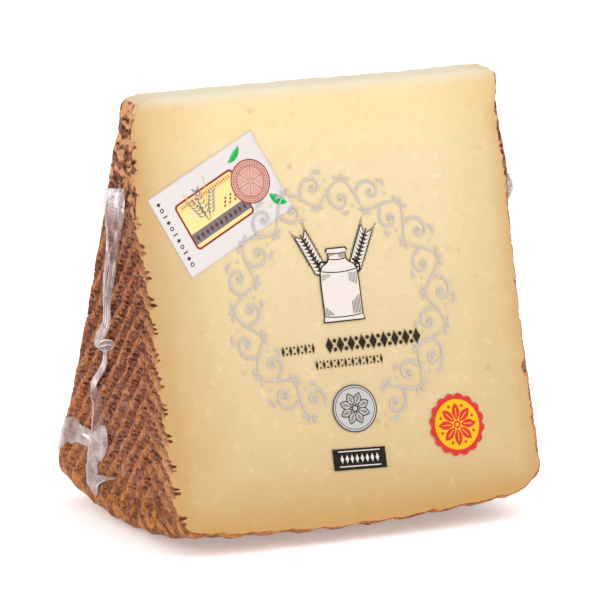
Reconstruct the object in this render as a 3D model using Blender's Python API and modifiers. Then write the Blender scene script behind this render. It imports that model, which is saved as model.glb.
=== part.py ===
"""A cut wedge of manchego in tight clear film, standing on its rind.

Metres, +Z up. The origin lies on the floor under the middle of the pack. X runs along the axis of the
wheel that the wedge was cut from, so the wheel's two flats are the left and right ends, and the cut
face with the paper label looks towards -Y. The blunt tip of the wedge is the top.
"""
import math

import bmesh
import bpy
from mathutils import Vector, noise

# The wheel and the cut
WHEEL_RADIUS = 0.0976
WHEEL_HEIGHT = 0.0915
HALF_ANGLE = math.radians(17.6)
TIP_FROM_AXIS = 0.0021
TIP_HALF_WIDTH = 0.0034
TIP_BLEND = 5.0
TIP_CORNER_RADIUS = 0.0044
TIP_ROWS = (0.0015, 0.0035, 0.006, 0.009, 0.0125, 0.017)
TIP_SAG = (0.0230, 0.0230, 0.0009)
TIP_SAG_REACH = 0.020

# The wheel's rounded edges, each along the axis and along the radius
LEFT_EDGE = (0.0031, 0.0084)
RIGHT_EDGE = (0.0150, 0.0073)
WALL_BARREL = 0.0017
EDGE_STEPS = 7
SECTOR_STEPS = 30

# The plaited belt's print on the wheel's wall
BRAID_PITCH = 0.0088
BRAID_OFFSET = 0.0032
BRAID_STEPS = 4
BRAID_RISE = 0.0004
STRAND_PITCH = 0.0084
STRAND_RISE = 0.0003
BRAID_MARGIN = 0.3
BRAID_FADE_END = 0.25

# The herringbone print on the wheel's flats
SPINE_TILT = math.radians(8.0)
SPINE_Y = -0.0030
RIDGE_SLOPE = 0.93
RIDGE_PITCH = 0.00492
RIDGE_START = 0.0009
RIDGE_ROWS = range(-12, 22)
RIDGE_PROFILE = ((0.0, 0.0), (0.25, 0.0), (0.5, 0.22), (0.75, 1.0))
RIDGE_CUT_SPACING = 0.0064
RIDGE_CUTS = 8
GROOVE_DEPTH = 0.0011
TOOTH_DEPTH = 0.0017
TOOTH_REACH = 0.007
RELIEF_FADE = 0.006
RELIEF_TOP = (0.002, 0.007)
PIT_SCALE = 260.0
PIT_SHARE = 0.45

# The slow shape of the flats: bells with a centre below the tip, a width and a height
LEFT_FRONT_SWELL = 0.0008
LEFT_PLATEAU = (0.3, 0.85)
LEFT_LIP = (0.0275, 0.0055, 0.0007)
LEFT_BACK_LIP = (0.0150, 0.0070, 0.0011)
LEFT_BACK_HOLLOW = (0.0620, 0.0220, -0.0006)
RIGHT_LIP = (0.0210, 0.0080, 0.0009)
RIGHT_HOLLOW = (0.0550, 0.0140, -0.0004)

# The flat spot that the wedge rests on
FOOT_DEPTH = 0.0005
FOOT_FADE = 0.006

# The paper label on the front cut face, measured from the left flat and down from the tip
LABEL_SIZE = (0.0307, 0.0193)
LABEL_ACROSS = 0.0199
LABEL_DOWN = 0.0248
LABEL_TURN = math.radians(25.4)
LABEL_THICKNESS = 0.00025
LABEL_GRID = (8, 6)

# The film's seals
GAP = 0.0003
SEAL_GAP = 0.0005
SEAL_THICKNESS = 0.0005
SEAL_LIFTS = ((-1, 1.6), (1, 0.4))
FIN_DOWN = 0.0785
FIN_HALF_WIDTH = 0.0024
FIN_STEPS = 16
FIN_DROP = 0.0020
FIN_SWAY = 0.0006
FIN_SWAY_TURN = 1.9
FIN_END_STEPS = 3
FIN_INSET = 0.0030
FIN_CLEARANCE = 0.0006

# Route of the end seal on the left flat: towards the back, down from the tip, half width, lift
LEFT_SEAL = (
    (0.0026, 0.0200, 0.0030, 0.0),
    (0.0031, 0.0222, 0.0044, 0.0003),
    (0.0038, 0.0262, 0.0046, 0.0005),
    (0.0050, 0.0308, 0.0032, 0.0002),
    (0.0057, 0.0367, 0.0023, 0.0),
    (0.0063, 0.0422, 0.0019, 0.0),
    (0.0062, 0.0463, 0.0017, 0.0),
    (0.0050, 0.0492, 0.0015, 0.0003),
    (0.0080, 0.0530, 0.0014, 0.0005),
    (0.0106, 0.0563, 0.0014, 0.0003),
    (0.0074, 0.0597, 0.0012, 0.0002),
    (0.0074, 0.0620, 0.0011, 0.0002),
    (0.0104, 0.0655, 0.0011, 0.0002),
    (0.0118, 0.0682, 0.0016, 0.0),
    (0.0101, 0.0715, 0.0026, 0.0),
    (0.0096, 0.0750, 0.0032, 0.0002),
    (0.0089, 0.0785, 0.0040, 0.0004),
    (0.0103, 0.0825, 0.0025, 0.0002),
    (0.0111, 0.0865, 0.0022, 0.0002),
    (0.0103, 0.0898, 0.0009, 0.0002),
)
# The same on the right flat, whose top stands away from the rind as an ear
RIGHT_SEAL = (
    (0.0002, 0.0190, 0.0030, 0.0),
    (-0.0006, 0.0245, 0.0046, 0.0013),
    (0.0006, 0.0300, 0.0040, 0.0004),
    (0.0024, 0.0350, 0.0024, 0.0),
    (0.0030, 0.0410, 0.0020, 0.0),
    (0.0022, 0.0465, 0.0016, 0.0002),
    (0.0052, 0.0515, 0.0015, 0.0004),
    (0.0064, 0.0545, 0.0014, 0.0002),
    (0.0040, 0.0585, 0.0013, 0.0),
    (0.0050, 0.0640, 0.0016, 0.0),
    (0.0058, 0.0700, 0.0026, 0.0),
    (0.0054, 0.0745, 0.0036, 0.0002),
    (0.0050, 0.0790, 0.0036, 0.0004),
    (0.0058, 0.0840, 0.0020, 0.0002),
    (0.0060, 0.0880, 0.0008, 0.0002),
)

HALF_HEIGHT = WHEEL_HEIGHT / 2
HALF_TAN = math.tan(HALF_ANGLE)
AXIS_ABOVE_FLOOR = WHEEL_RADIUS + WALL_BARREL - FOOT_DEPTH
TIP_HEIGHT = AXIS_ABOVE_FLOOR - TIP_FROM_AXIS


def clear_scene():
    for old in list(bpy.data.objects):
        bpy.data.objects.remove(old, do_unlink=True)


def new_collection(name):
    collection = bpy.data.collections.new(name)
    bpy.context.scene.collection.children.link(collection)
    return collection


def make_material(name, colour, roughness):
    material = bpy.data.materials.new(name)
    material.use_nodes = True
    shader = material.node_tree.nodes["Principled BSDF"]
    shader.inputs["Base Color"].default_value = (*colour, 1.0)
    shader.inputs["Roughness"].default_value = roughness
    material.diffuse_color = (*colour, 1.0)
    return material


def add_object(name, bm, material, collection):
    mesh = bpy.data.meshes.new(name)
    bm.to_mesh(mesh)
    bm.free()
    mesh.materials.append(material)
    part = bpy.data.objects.new(name, mesh)
    collection.objects.link(part)
    return part


def smooth_step(low, high, value):
    t = min(max((value - low) / (high - low), 0.0), 1.0)
    return t * t * (3 - 2 * t)


def bump(value, centre, width, height):
    """A bell of this height and width round its centre."""
    return height * math.exp(-((value - centre) / width) ** 2)


def cut_half_width(depth):
    """Half the wedge's thickness this far below the tip, on the two straight cuts."""
    return (depth + TIP_FROM_AXIS) * HALF_TAN


def half_width(depth):
    """Half the wedge's real thickness: the straight cuts, blended into the blunt tip."""
    return (cut_half_width(depth) ** TIP_BLEND + TIP_HALF_WIDTH ** TIP_BLEND) ** (1 / TIP_BLEND)


def braid_rise(x, along):
    """Relief of the belt's print on the wall: round braids side by side, each with slanted strands."""
    braid = (x - BRAID_OFFSET) / BRAID_PITCH
    across = braid - round(braid)
    strand = math.cos(2 * math.pi * (along / STRAND_PITCH + RIDGE_SLOPE * abs(across)))
    return BRAID_RISE * (1 - 8 * across * across) + STRAND_RISE * strand * (1 - 4 * across * across)


def rounded_edge(side, edge):
    """Points (x, radius) of a rounded wheel edge, from the flat at this side to the wall."""
    along, radial = edge
    points = []
    for step in range(EDGE_STEPS + 1):
        turn = 0.5 * math.pi * step / EDGE_STEPS
        x = side * (HALF_HEIGHT - along * (1 - math.cos(turn)))
        points.append((x, WHEEL_RADIUS - radial * (1 - math.sin(turn))))
    return points


def wheel_profile():
    """Closed outline (x, radius) of half the wheel's section, with its rounded edges and barrelled wall."""
    start, end = LEFT_EDGE[0] - HALF_HEIGHT, HALF_HEIGHT - RIGHT_EDGE[0]
    step = BRAID_PITCH / BRAID_STEPS
    wall = []
    first = math.ceil((start - BRAID_OFFSET) / step + BRAID_MARGIN)
    after_last = math.ceil((end - BRAID_OFFSET) / step - BRAID_MARGIN)
    for index in range(first, after_last):
        x = BRAID_OFFSET + index * step
        share = (x - start) / (end - start)
        wall.append((x, WHEEL_RADIUS + WALL_BARREL * 4 * share * (1 - share)))
    inner = TIP_FROM_AXIS / 2
    return ([(-HALF_HEIGHT, inner)] + rounded_edge(-1, LEFT_EDGE) + wall
            + rounded_edge(1, RIGHT_EDGE)[::-1] + [(HALF_HEIGHT, inner)])


def turned_sector():
    """The wheel's section turned through the cut's angle about the wheel's axis, which is the X axis."""
    bm = bmesh.new()
    start = -HALF_ANGLE
    ring = [bm.verts.new((x, r * math.sin(start), -r * math.cos(start))) for x, r in wheel_profile()]
    bm.faces.new(ring)
    bmesh.ops.spin(bm, geom=bm.faces[:] + bm.edges[:] + bm.verts[:], cent=(0, 0, 0), axis=(1, 0, 0),
                   angle=2 * HALF_ANGLE, steps=SECTOR_STEPS, use_duplicate=False)
    bmesh.ops.recalc_face_normals(bm, faces=bm.faces[:])
    return bm


def cut_tip(bm):
    """Cuts the sharp tip off square and rounds its corners and long edges."""
    cut = bmesh.ops.bisect_plane(bm, geom=bm.verts[:] + bm.edges[:] + bm.faces[:], dist=1e-7,
                                 plane_co=(0, 0, -TIP_FROM_AXIS), plane_no=(0, 0, 1), clear_outer=True)
    rim = [item for item in cut["geom_cut"] if isinstance(item, bmesh.types.BMEdge)]
    bmesh.ops.contextual_create(bm, geom=rim)
    bmesh.ops.dissolve_limit(bm, angle_limit=math.radians(0.2), verts=bm.verts[:], edges=bm.edges[:])
    top = [edge for edge in bm.edges if all(abs(v.co.z + TIP_FROM_AXIS) < 1e-6 for v in edge.verts)]
    ends = [edge for edge in top if abs(edge.verts[0].co.x - edge.verts[1].co.x) < 1e-6]
    bmesh.ops.bevel(bm, geom=ends, offset=TIP_CORNER_RADIUS, segments=4, profile=0.5, affect="EDGES")


def on_flat(face, side):
    return face.normal.x * side > 0.999


def flat_items(faces):
    """The faces with their edges and corners, in the form that a plane cut takes."""
    edges = {edge for face in faces for edge in face.edges}
    verts = {vert for face in faces for vert in face.verts}
    return list(verts) + list(edges) + list(faces)


def herringbone(y, depth):
    """Place on a flat: distance behind the herringbone's spine, and distance down along it."""
    dy, dz = y - SPINE_Y, -depth
    behind = dy * math.cos(SPINE_TILT) - dz * math.sin(SPINE_TILT)
    down = -dy * math.sin(SPINE_TILT) - dz * math.cos(SPINE_TILT)
    return behind, down


def cut_rows(bm):
    """Cuts rows near the tip, where the two cut faces bend to the blunt edge."""
    for depth in TIP_ROWS:
        bmesh.ops.bisect_plane(bm, geom=bm.verts[:] + bm.edges[:] + bm.faces[:], dist=1e-7,
                               plane_co=(0, 0, -TIP_FROM_AXIS - depth), plane_no=(0, 0, 1))


def cut_ridges(bm, side):
    """Cuts a flat along its herringbone: the spine, lines beside it, and the slanted ridges."""
    across = Vector((0, math.cos(SPINE_TILT), math.sin(SPINE_TILT)))
    upward = Vector((0, -math.sin(SPINE_TILT), math.cos(SPINE_TILT)))
    centre = Vector((0, SPINE_Y, -TIP_FROM_AXIS))

    def cut(half, origin, normal):
        chosen = [face for face in bm.faces if on_flat(face, side)
                  and half * (face.calc_center_median() - centre).dot(across) > -1e-9]
        bmesh.ops.bisect_plane(bm, geom=flat_items(chosen), dist=2e-5, plane_co=origin, plane_no=normal)

    cut(0, centre, across)
    for half in (-1, 1):
        slanted = (upward + across * (half * RIDGE_SLOPE)).normalized()
        for row in RIDGE_ROWS:
            for phase, _ in RIDGE_PROFILE:
                cut(half, centre - upward * ((row + phase) * RIDGE_PITCH + RIDGE_START), slanted)
        for step in range(1, RIDGE_CUTS + 1):
            cut(half, centre + across * (half * step * RIDGE_CUT_SPACING), across)


def ridge_shape(phase):
    """Depth of the groove's section, 0 on the ridge and 1 at the bottom, between the profile's points."""
    points = RIDGE_PROFILE + ((1.0, RIDGE_PROFILE[0][1]),)
    for (low, first), (high, last) in zip(points, points[1:]):
        if phase <= high:
            return first + (last - first) * max(phase - low, 0.0) / (high - low)
    return points[-1][1]


def ridge_depth(y, depth):
    """How deep the herringbone's groove is at a place on a flat. Grooves end in deep teeth at the front."""
    behind, down = herringbone(y, depth)
    row = (down - RIDGE_SLOPE * abs(behind) - RIDGE_START) / RIDGE_PITCH
    pits = noise.noise(Vector((y, depth, 0.01)) * PIT_SCALE)
    near_front = 1 - smooth_step(0.0, TOOTH_REACH, y + half_width(depth))
    size = GROOVE_DEPTH * (1 + PIT_SHARE * pits) + (TOOTH_DEPTH - GROOVE_DEPTH) * near_front
    return size * ridge_shape(row - math.floor(row + 1e-3))


def flat_swell(side, y, depth):
    """How far a flat's slow shape stands out from the plane at a place on it."""
    span = depth / (WHEEL_RADIUS - TIP_FROM_AXIS)
    plateau = smooth_step(0.0, LEFT_PLATEAU[0], span) * (1 - smooth_step(LEFT_PLATEAU[1], 1.0, span))
    forward = smooth_step(-1.0, 1.0, -y / half_width(depth))
    if side < 0:
        front = LEFT_FRONT_SWELL * plateau + bump(depth, *LEFT_LIP)
        back = bump(depth, *LEFT_BACK_LIP) + bump(depth, *LEFT_BACK_HOLLOW)
        return front * forward + back * (1 - forward)
    return (bump(depth, *RIGHT_LIP) + bump(depth, *RIGHT_HOLLOW)) * forward


def shape_vertex(co):
    """Moves a corner of the plain sector to its place on the real surface, standing on the floor."""
    x, y, z = co
    side = 1 if x > 0 else -1
    edge_along, edge_radial = RIGHT_EDGE if x > 0 else LEFT_EDGE
    depth = -z - TIP_FROM_AXIS
    radius = math.hypot(y, z)
    inset = HALF_HEIGHT - abs(x)
    flat_end = WHEEL_RADIUS - edge_radial
    wide = y * half_width(depth) / cut_half_width(depth)
    if radius > flat_end:
        share = smooth_step(flat_end, WHEEL_RADIUS - BRAID_FADE_END * edge_radial, radius)
        along = math.atan2(y, -z) * WHEEL_RADIUS
        rise = braid_rise(x, along) * share * foot_share(x, along)
        wide *= 1 + rise / radius
        z *= 1 + rise / radius
    x += side * flat_swell(side, wide, depth) * (1 - smooth_step(0.0, edge_along, inset))
    if inset < 1e-6:
        fade = 1 - smooth_step(flat_end - RELIEF_FADE, flat_end, radius)
        fade *= smooth_step(*RELIEF_TOP, depth)
        x -= side * ridge_depth(wide, depth) * fade
    z -= bump(x, *TIP_SAG) * (1 - smooth_step(0.0, TIP_SAG_REACH, depth))
    return Vector((x, wide, z + AXIS_ABOVE_FLOOR))


def foot_share(x, along):
    """0 on the spot that the wedge rests on and 1 away from it, so that the spot has no relief."""
    long_side = math.sqrt(FOOT_DEPTH / WALL_BARREL) * HALF_HEIGHT
    short_side = math.sqrt(2 * WHEEL_RADIUS * FOOT_DEPTH)
    distance = max(abs(x) - long_side, abs(along) - short_side)
    return smooth_step(0.0, FOOT_FADE, distance)


def wedge_mesh():
    """The cheese in its tight film: one closed body with the rind's print in relief."""
    bm = turned_sector()
    cut_tip(bm)
    cut_rows(bm)
    for side in (-1, 1):
        cut_ridges(bm, side)
    for vert in bm.verts:
        vert.co = shape_vertex(vert.co)
    for vert in bm.verts:
        vert.co.z = max(vert.co.z, 0.0)
    bmesh.ops.triangulate(bm, faces=bm.faces[:])
    bmesh.ops.recalc_face_normals(bm, faces=bm.faces[:])
    return bm


def back_face_point(x, depth):
    """A point just behind the wedge's back cut face."""
    return Vector((x, cut_half_width(depth) + SEAL_GAP / math.cos(HALF_ANGLE), TIP_HEIGHT - depth))


def label_mesh():
    """A thin sheet on the front cut face, bent with it towards the blunt tip."""
    bm = bmesh.new()
    bmesh.ops.create_grid(bm, x_segments=LABEL_GRID[0], y_segments=LABEL_GRID[1], size=0.5)
    turn_cos, turn_sin = math.cos(LABEL_TURN), math.sin(LABEL_TURN)
    for vert in bm.verts:
        u, v = vert.co.x * LABEL_SIZE[0], vert.co.y * LABEL_SIZE[1]
        x = LABEL_ACROSS - HALF_HEIGHT + u * turn_cos - v * turn_sin
        depth = (LABEL_DOWN - u * turn_sin - v * turn_cos) * math.cos(HALF_ANGLE)
        vert.co = (x, -half_width(depth) - GAP / math.cos(HALF_ANGLE), TIP_HEIGHT - depth)
    return bm


def seal_rails(side, route):
    """Front and back rails of an end seal: the route's points moved sideways by their half width."""
    rails = ([], [])
    for index, (y, depth, half, lift) in enumerate(route):
        before = route[max(index - 1, 0)]
        after = route[min(index + 1, len(route) - 1)]
        run_y, run_down = after[0] - before[0], after[1] - before[1]
        length = math.hypot(run_y, run_down)
        off_y, off_down = run_down / length * half, -run_y / length * half
        for rail, (way, lifted) in zip(rails, SEAL_LIFTS):
            py, pd = y + way * off_y, depth + way * off_down
            stand = flat_swell(side, py, pd) + SEAL_GAP + lift * lifted
            rail.append(Vector((side * (HALF_HEIGHT + stand), py, TIP_HEIGHT - pd)))
    return rails


def ribbon_mesh(front, back):
    """An open strip of faces between two rails."""
    bm = bmesh.new()
    first, second = ([bm.verts.new(point) for point in rail] for rail in (front, back))
    for index in range(len(first) - 1):
        bm.faces.new((first[index], first[index + 1], second[index + 1], second[index]))
    return bm


def fin_rail(way):
    """One rail of the fin seal (-1 upper, 1 lower): from the left flat round the back to the right flat."""
    ends = []
    for side, seal in ((-1, LEFT_SEAL), (1, RIGHT_SEAL)):
        start = FIN_CLEARANCE + max(y + half for y, depth, half, _ in seal if abs(depth - FIN_DOWN) < 0.002)
        rail = []
        for step in range(FIN_END_STEPS + 1):
            share = step / FIN_END_STEPS
            depth = FIN_DOWN + FIN_DROP * share + way * FIN_HALF_WIDTH
            y = start + (cut_half_width(depth) + SEAL_GAP - start) * share
            stand = flat_swell(side, y, depth) + SEAL_GAP
            rail.append(Vector((side * (HALF_HEIGHT + stand), y, TIP_HEIGHT - depth)))
        ends.append(rail)
    across = []
    for step in range(FIN_STEPS + 1):
        x = (2 * step / FIN_STEPS - 1) * (HALF_HEIGHT - FIN_INSET)
        sway = FIN_DROP + FIN_SWAY * math.sin(step * FIN_SWAY_TURN)
        across.append(back_face_point(x, FIN_DOWN + sway + way * FIN_HALF_WIDTH))
    return ends[0] + across + ends[1][::-1]


def add_sheet(name, bm, thickness, material, collection, outward):
    """An open surface thickened away from the cheese: on its normals' side with 1, on the other with -1."""
    part = add_object(name, bm, material, collection)
    solid = part.modifiers.new("Thickness", "SOLIDIFY")
    solid.thickness = thickness
    solid.offset = outward
    return part


def centre_on_floor(parts):
    """Moves all meshes sideways together, so that the origin is under the middle of their box."""
    bpy.context.view_layer.update()
    depsgraph = bpy.context.evaluated_depsgraph_get()
    points = [vert.co.copy() for part in parts for vert in part.evaluated_get(depsgraph).data.vertices]
    middle_x = (max(p.x for p in points) + min(p.x for p in points)) / 2
    middle_y = (max(p.y for p in points) + min(p.y for p in points)) / 2
    for part in parts:
        for vert in part.data.vertices:
            vert.co -= Vector((middle_x, middle_y, 0))


def build():
    clear_scene()
    collection = new_collection("manchego_wedge_pack")
    cheese = make_material("cheese_and_rind", (0.80, 0.62, 0.36), 0.45)
    paper = make_material("label_paper", (0.88, 0.87, 0.85), 0.6)
    film = make_material("clear_film", (0.80, 0.76, 0.76), 0.2)
    parts = [
        add_object("manchego_wedge", wedge_mesh(), cheese, collection),
        add_sheet("paper_label", label_mesh(), LABEL_THICKNESS, paper, collection, 1),
        add_sheet("film_end_seal_left", ribbon_mesh(*seal_rails(-1, LEFT_SEAL)), SEAL_THICKNESS,
                  film, collection, -1),
        add_sheet("film_end_seal_right", ribbon_mesh(*seal_rails(1, RIGHT_SEAL)), SEAL_THICKNESS,
                  film, collection, 1),
        add_sheet("film_fin_seal", ribbon_mesh(fin_rail(-1), fin_rail(1)), SEAL_THICKNESS,
                  film, collection, 1),
    ]
    centre_on_floor(parts)


build()
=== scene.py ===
"""A wedge of manchego in clear film: the looks of every piece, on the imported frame.

Metres, +Z up. X runs along the axis of the wheel that the wedge was cut from. A place on the front cut
face is given in millimetres: across from the left flat, and down the slope from the blunt tip. A place
on a flat is given as millimetres in front of the wheel's middle, and down from the tip.
"""

import math
from functools import partial
from itertools import product

import bpy
import numpy as np
from bpy.props import FloatProperty, FloatVectorProperty, PointerProperty
from mathutils import Matrix, Vector


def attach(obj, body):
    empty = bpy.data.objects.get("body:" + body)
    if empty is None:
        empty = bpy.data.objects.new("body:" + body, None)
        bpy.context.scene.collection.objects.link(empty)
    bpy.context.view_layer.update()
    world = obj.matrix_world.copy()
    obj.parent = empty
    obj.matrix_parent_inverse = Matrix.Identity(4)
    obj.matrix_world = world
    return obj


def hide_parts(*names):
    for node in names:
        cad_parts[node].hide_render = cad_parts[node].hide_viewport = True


bl_info = {
    "name": "Manchego Wedge",
    "version": (1, 0, 0),
    "blender": (4, 5, 0),
    "location": "View3D > Sidebar > Cheese",
    "description": "Builds a film-wrapped cheese wedge with its label, print and seals",
    "category": "Add Mesh",
}

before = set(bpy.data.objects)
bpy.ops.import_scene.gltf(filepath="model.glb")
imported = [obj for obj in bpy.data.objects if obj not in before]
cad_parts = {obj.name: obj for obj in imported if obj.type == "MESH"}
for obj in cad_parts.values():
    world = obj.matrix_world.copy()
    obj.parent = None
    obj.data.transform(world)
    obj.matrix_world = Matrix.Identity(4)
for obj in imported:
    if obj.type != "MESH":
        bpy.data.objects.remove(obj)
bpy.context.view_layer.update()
MM = 0.001

# The wheel and the cut, as in the solids, in millimetres
WHEEL_RADIUS = 97.6
HALF_HEIGHT = 45.75
HALF_ANGLE = math.radians(17.6)
HALF_TAN = math.tan(HALF_ANGLE)
TIP_FROM_AXIS = 2.1
TIP_HALF_WIDTH = 3.4
TIP_BLEND = 5.0
TIP_CORNERS = (4.4, 3.0)
TIP_LONG_EDGE = 1.3
CUT_EDGE = 0.7
LEFT_EDGE = (3.1, 8.4)
RIGHT_EDGE = (15.0, 7.3)
WALL_BARREL = 1.7
FOOT_DEPTH = 0.5
AXIS_ABOVE_FLOOR = WHEEL_RADIUS + WALL_BARREL - FOOT_DEPTH
TIP_ABOVE_FLOOR = AXIS_ABOVE_FLOOR - TIP_FROM_AXIS
WHEEL_MIDDLE_X = -0.55
SLOPE_LENGTH = WHEEL_RADIUS - TIP_FROM_AXIS

# The slow shape of the flats and the tip: bells with a centre, a width and a height
LEFT_FRONT_SWELL = 0.8
LEFT_LIP = (27.5, 5.5, 0.7)
LEFT_BACK_LIP = (15.0, 7.0, 0.7)
LEFT_BACK_HOLLOW = (62.0, 22.0, -0.6)
RIGHT_LIP = (21.0, 8.0, 0.9)
RIGHT_HOLLOW = (55.0, 14.0, -0.4)
TIP_SAG = (23.0, 23.0, 0.3)

# The rind's prints
SPINE_TILT = math.radians(8.0)
SPINE_Y = -3.0
RIDGE_SLOPE = 0.93
RIDGE_PITCH = 4.92
RIDGE_START = 0.9
BRAID_PITCH = 8.8
BRAID_OFFSET = 3.2
BRAID_RISE = 0.4
STRAND_PITCH = 8.4
STRAND_RISE = 0.3

# How the print wavers: an amount, a lump size and a seed each
ROW_WAVER = ((0.16, 6.0, 3), (0.15, 2.4, 14), (0.05, 0.9, 4))
RUNG_WAVER = ((0.9, 5.0, 5), (0.6, 2.0, 19))

# Where a row's band and its tooth begin and end, as eased stretches of the row
BAND_START = (0.38, 0.54)
BAND_END = (0.88, 1.02)
TOOTH_START = (0.42, 0.56)
TOOTH_END = (0.86, 0.98)

# Depths between which the print takes over from lumps, and teeth grow to their full size
LUMPS_END = (16.0, 42.0)
TEETH_GROW = (20.0, 44.0)

# Heights in metres over which the finish changes
TOP_ZONE = (0.060, 0.078)
LOW_ZONE = (0.012, 0.050)
FOOT_ZONE = (0.006, 0.016)
TIP_ZONE = (0.0930, 0.0968)

# The back seam: middle depth, half width, edge radius, start before the left edge and end past the right one
FIN_DEPTH = 79.0
FIN_HALF_WIDTH = 2.1
FIN_CORNER = 0.9
FIN_START = -14.5
FIN_PAST_END = 16.5

# Its painted glints, each as a bell along it and one across it, and the painted highlight of the line where
# it bends
FIN_GLINTS = (((-11.0, 1.8, 1.0), (-0.2, 0.2, 1.0)), ((-13.6, 1.2, 0.9), (-0.6, 0.15, 1.0)))
FIN_BEND_HIGHLIGHT = (-7.6, 0.35, 0.45)

# How far the undersides of the seams stand off the cheese, and how thin the seams are at least
SEAM_STAND = 0.26
FIN_STAND = 0.30
SEAM_THIN = 0.05

# Folds across the width of a seam, of a loose fold and of the back seam
SEAM_PLEATS = 3.4
FOLD_PLEATS = 2.2
FIN_PLEATS = 3.2

# Routes of the folded film on the flats: towards the back, down from the tip, half width, lift, milkiness.
# A fold's first number is the strength of its creases.
LEFT_SEAM = (
    (3.0, 20.7, 4.2, 0.0, 0.8),
    (2.7, 22.2, 4.8, 0.2, 0.8),
    (2.7, 24.4, 5.3, 0.3, 0.75),
    (2.9, 26.8, 4.9, 0.2, 0.6),
    (3.3, 30.2, 3.8, 0.1, 0.4),
    (3.9, 33.6, 3.2, 0.0, 0.25),
    (4.6, 38.0, 2.9, 0.0, 0.15),
    (5.5, 42.0, 2.6, 0.0, 0.15),
    (6.0, 45.2, 2.1, 0.0, 0.3),
    (6.1, 47.5, 1.6, 0.1, 0.55),
    (5.7, 49.6, 1.35, 0.2, 0.7),
    (5.9, 51.4, 1.3, 0.3, 0.8),
    (7.2, 53.3, 1.25, 0.4, 0.9),
    (9.1, 55.4, 1.2, 0.4, 1.0),
    (10.6, 57.2, 1.0, 0.2, 0.9),
    (11.2, 58.0, 0.4, 0.1, 0.8),
)
LEFT_FOLDS = (
    (
        1.0,
        (2.0, 55.2, 0.3, 0.1, 0.4),
        (3.2, 55.6, 1.0, 0.2, 0.4),
        (5.0, 56.2, 1.4, 0.3, 0.5),
        (6.9, 56.8, 1.4, 0.3, 0.5),
        (8.6, 57.4, 1.0, 0.2, 0.6),
        (9.6, 57.8, 0.3, 0.1, 0.6),
    ),
    (
        1.0,
        (6.3, 57.2, 0.5, 0.1, 0.3),
        (6.5, 58.6, 0.8, 0.1, 0.4),
        (6.7, 60.2, 0.9, 0.1, 0.5),
        (7.4, 61.7, 0.85, 0.2, 0.8),
        (9.3, 63.8, 0.85, 0.2, 0.9),
        (11.0, 65.7, 0.85, 0.2, 0.9),
        (12.2, 67.4, 0.8, 0.1, 0.8),
        (12.5, 68.3, 0.3, 0.0, 0.7),
    ),
    (
        0.3,
        (12.6, 67.7, 1.0, 0.1, 0.7),
        (11.6, 68.3, 1.8, 0.1, 0.4),
        (10.0, 69.8, 2.4, 0.0, 0.08),
        (9.3, 72.6, 2.7, 0.0, 0.05),
        (9.0, 75.0, 2.9, 0.1, 0.3),
        (8.5, 76.4, 4.0, 0.2, 0.85),
        (8.4, 78.2, 4.2, 0.3, 0.85),
        (8.9, 80.0, 3.7, 0.2, 0.8),
        (10.2, 81.6, 2.5, 0.2, 0.7),
        (10.8, 86.0, 2.3, 0.2, 0.7),
        (10.5, 88.6, 2.5, 0.2, 0.7),
        (10.4, 90.2, 1.6, 0.1, 0.7),
        (10.6, 91.6, 0.3, 0.0, 0.6),
    ),
    (
        0.3,
        (9.6, 88.0, 1.6, 0.1, 0.7),
        (7.6, 87.0, 1.1, 0.1, 0.7),
        (5.6, 86.3, 0.7, 0.0, 0.6),
        (3.0, 85.6, 0.4, 0.0, 0.5),
        (-1.4, 84.6, 0.1, 0.0, 0.4),
    ),
)
RIGHT_SEAM = (
    (0.2, 19.0, 3.0, 0.0, 0.6),
    (-0.6, 24.5, 4.6, 1.2, 0.9),
    (0.6, 30.0, 3.8, 0.4, 0.5),
    (2.4, 35.0, 2.4, 0.0, 0.2),
    (3.0, 41.0, 2.0, 0.0, 0.2),
    (2.2, 46.5, 1.6, 0.2, 0.5),
    (5.2, 51.5, 1.5, 0.4, 0.9),
    (6.4, 54.5, 1.4, 0.2, 0.9),
    (4.0, 58.5, 1.3, 0.0, 0.4),
    (5.0, 64.0, 1.6, 0.0, 0.2),
    (5.8, 70.0, 2.4, 0.0, 0.1),
    (5.4, 74.5, 3.2, 0.2, 0.4),
    (5.0, 79.0, 3.5, 0.4, 0.8),
    (5.8, 84.0, 2.0, 0.2, 0.4),
    (6.0, 88.0, 0.9, 0.2, 0.4),
)
RIGHT_TUFT = (
    (-7.3, 29.6, 0.3, 0.1, 0.9),
    (-7.3, 28.2, 0.9, 0.4, 1.0),
    (-7.4, 26.4, 1.2, 0.6, 1.0),
    (-7.0, 24.8, 0.9, 0.4, 1.0),
    (-6.8, 23.4, 0.3, 0.1, 0.9),
)

# How high the layers of ink lie over the film and over the paper, and the paper over the cheese
FILM_INK_LIFT = 0.06
FILM_INK_LAYER = 0.02
LABEL_LIFT = 0.04
LABEL_INK_LIFT = 0.012
LABEL_INK_LAYER = 0.008

# The ring of vine: its centre, middle radius, bays, opening at the top in turns, and the ink's opacity
RING_CENTRE = (46.0, 48.5)
RING_RADIUS = 24.0
RING_BAYS = 20
RING_OPENING = 0.045
RING_OPACITY = 0.66

# The ears of wheat: their middle, and how far out and down their feet and tops are
EARS_MIDDLE = 46.2
EARS_FOOT = (1.6, 47.0)
EARS_TOP = (8.3, 33.2)

# The churn's middle, top and base, and its outline as pairs of a depth and a half width
CHURN_PLACE = (46.3, 37.0, 52.7)
CHURN_PROFILE = (
    (0.0, 2.2), (0.8, 2.6), (0.9, 2.0), (2.1, 2.0), (2.9, 2.5), (3.6, 3.9),
    (4.8, 4.5), (7.5, 4.65), (12.0, 4.6), (14.2, 4.6), (14.8, 4.9), (15.3, 4.9),
)

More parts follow.
